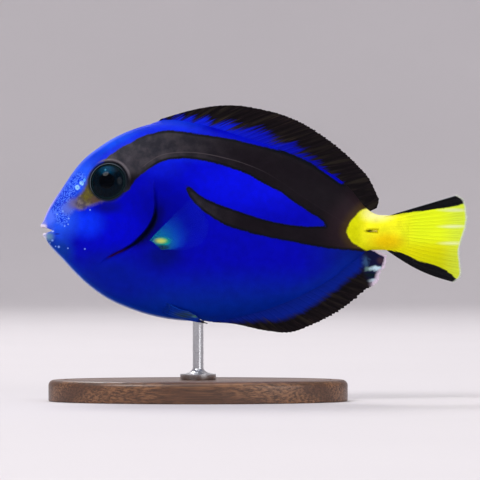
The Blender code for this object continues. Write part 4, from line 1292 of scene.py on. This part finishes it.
def clear_fin_finish():
    """Yellow-green low at the root, turquoise above it, and clear blue outwards."""
    nodes = fin_finish("clear_blue_fin", 0.3, Roughness=0.45)
    green, olive = nodes.patch((34.2, -3.1), (3.4, 1.6), 0.1), nodes.patch((34, -4.9), (3.6, 1), 0.3)
    shade = nodes.paint(
        nodes.mix(("reach", 0.15, 0.5), (12, 160, 200), (4, 104, 236)),
        ((12, 70, 230), ("reach", 0.4, 0.8)),
        ((100, 170, 236), ("streak", 0.5, 0.75, 0, 0.25)),
        ((40, 206, 130), green),
        ((226, 244, 128), ((33.6, -3), (2.4, 1.1), 0.2)),
        ((42, 56, 50), olive, 0.8),
    )
    solid = nodes.rise("reach", 0.15, 0.7, 0.4, 0.02)
    solid = nodes.scaled("ray", nodes.rise("reach", 0.9, 0.4, 0.01, 0.06), solid)
    for more, strength in ((green, 0.5), (olive, 0.16)):
        solid = nodes.math("MULTIPLY_ADD", more, strength, solid, clamp=True)
    return nodes.show(Base_Color=shade, Alpha=solid)


def eye_finish():
    """A wet dark globe: black pupil, deep teal iris with fine rays, and a paler glow above: painted
    reflection and highlight.
    """
    nodes = new_finish("wet_eye", Roughness=0.3, Coat_Weight=0.12, Coat_Roughness=0.01, Specular_IOR_Level=0)
    turns = [nodes.math(wave, "round_middle") for wave in ("COSINE", "SINE")]
    fibres = nodes.noise(0.06, 3, 0.7, nodes.joined(*turns, nodes.times("from_middle", 0.06)))
    fibre = nodes.rise(fibres, 0.35, 0.7)
    x, z = EYE_PLACE
    iris = nodes.paint(
        nodes.mix(fibre, (0, 6, 14), (1, 17, 30)),
        # Painted reflection: a paler teal glow on the upper part of the globe.
        ((0, 62, 94), ((x - 0.4, z + 3.3), (3.2, 2.4)), nodes.scaled(fibre, 0.3, 0.6)),
        ((0, 2, 6), ("from_middle", 2.6, 1.9)),
        # Painted highlight: a small pale teal spot.
        ((54, 126, 152), ((x - 0.7, z + 3.3), (0.38, 0.42))),
        ((22, 40, 44), ("from_middle", 4.3, 4.7)),
    )
    return nodes.show(Base_Color=iris)


def spine_finish():
    """Brown yellow horn with a dark point."""
    nodes = new_finish("horn_spine", Roughness=0.35, Coat_Weight=0.1, Coat_Roughness=0.1)
    streaks = nodes.noise(0.4, 3, stretch=(0.5, 3, 3))
    shade = nodes.mix(streaks, (186, 164, 30), (222, 206, 64))
    shade = nodes.paint(shade, ((44, 34, 8), ("x", 93.4, 91.9)))
    return nodes.show(Base_Color=shade, Normal=nodes.bump(streaks, 0.3, 0.03))


def wood_finish():
    """Walnut with long grain, pores and an oiled shine."""
    nodes = new_finish("oiled_walnut", Roughness=0.42, Coat_Weight=0.25, Coat_Roughness=0.2)
    side, up = nodes.split()[1:]
    slanted = nodes.scaled(up, 0.5, nodes.times(side, 0.55))
    rings = nodes.scaled(nodes.noise(1, 3, stretch=(0.05, 0.25, 0.25)), 9, slanted)
    grain = nodes.scaled(nodes.math("SINE", rings), 0.5, 0.5)
    fine = nodes.noise(1, 4, 0.65, stretch=(0.06, 2.2, 2.2))
    pores = nodes.rise(nodes.noise(1, 2, 0.5, stretch=(0.25, 5, 5)), 0.62, 0.72)
    shade = nodes.mix(grain, (96, 62, 40), (142, 98, 64))
    shade = nodes.mix((fine, 0.35, 0.65), (70, 44, 28), shade)
    return nodes.show(
        Base_Color=nodes.paint(shade, ((44, 27, 18), pores, 0.6)),
        Roughness=nodes.rise(fine, 0.3, 0.7, 0.5, 0.36),
        Normal=nodes.bump(nodes.math("SUBTRACT", fine, pores), 0.25, 0.08),
    )


def steel_finish():
    """Turned steel with fine rings from the lathe."""
    nodes = new_finish("turned_steel", Metallic=1, Roughness=0.3)
    rings = nodes.noise(1, stretch=(0.2, 0.2, 14))
    return nodes.show(
        Base_Color=nodes.mix(nodes.noise(6, 3), (186, 188, 192), (206, 207, 210)),
        Roughness=nodes.rise(rings, 0.3, 0.7, 0.24, 0.36),
        Normal=nodes.bump(rings, 0.2, 0.02),
    )


def floor_finish():
    nodes = new_finish("pale_floor", Roughness=0.8)
    return nodes.show(Base_Color=nodes.mix(nodes.noise(140, 2, 0.5), (212, 207, 210), (216, 211, 214)))


# The studio, in metres.
def make_studio():
    """A round pale floor that curves up into a wall, open above, so that each view has the same backdrop."""
    flat = FLOOR_RADIUS - FLOOR_CURVE
    turns = np.radians(np.linspace(5, 90, 18))
    curve = [(flat + FLOOR_CURVE * math.sin(a), FLOOR_CURVE * (1 - math.cos(a))) for a in turns]
    profile = [(0, 0), (flat, 0), *curve, (FLOOR_RADIUS, WALL_TOP)]
    studio = spun("studio", profile, 96, merge=0.0001, inside=True)
    studio.data.shade_smooth()
    studio.data.materials.append(floor_finish())


def add_to_scene(name, data):
    made = bpy.data.objects.new(name, data)
    bpy.context.scene.collection.objects.link(made)
    return made


def add_light(name, place, aim, size, power):
    data = bpy.data.lights.new(name, "AREA")
    data.shape = "DISK"
    data.size = size
    data.energy = power
    lamp = add_to_scene(name, data)
    lamp.location = place
    lamp.rotation_mode = "QUATERNION"
    lamp.rotation_quaternion = (Vector(aim) - Vector(place)).to_track_quat("-Z", "Y")


def light_studio():
    fish = (0.01, 0, 0.05)
    add_light("room_light", (0, 0, 2.9), (0, 0, 0), 3, 24)
    add_light("key_light", (-0.7, -0.8, 1.15), fish, 0.55, 9)
    add_light("fill_light", (0.9, -1.1, 0.5), fish, 0.9, 5)
    add_light("rim_light", (-0.2, 0.9, 1.1), fish, 0.6, 7)
    world = bpy.data.worlds.new("soft_room")
    world.use_nodes = True
    background = world.node_tree.nodes["Background"].inputs
    background["Color"].default_value = (0.95, 0.97, 1, 1)
    background["Strength"].default_value = 0.55
    bpy.context.scene.world = world
    bpy.context.scene.view_settings.view_transform = "Standard"


def place_camera():
    data = bpy.data.cameras.new("photo_camera")
    data.sensor_width = 36
    data.lens = CAMERA_LENS
    data.clip_start, data.clip_end = 0.01, 20
    camera = add_to_scene("photo_camera", data)
    camera.location = CAMERA_PLACE
    camera.rotation_euler = (math.pi / 2, 0, 0)
    bpy.context.scene.camera = camera


tiny_scales = scaled_skin_group()
marking_edge = torn_edge_group()
fin_rays = fin_ray_group()
tail_yellow = tail_yellow_group()

make_skin()
make_dorsal_fin()
make_anal_fin()
make_tail_fin()
for side, word in ((-1, "left"), (1, "right")):
    make_eye(side, word)
    make_pectoral_fin(side, word)
    make_pelvic_fin(side, word)
    make_tail_spine(side, word)
make_stand_base()
make_stand_rod()
make_studio()
light_studio()
place_camera()
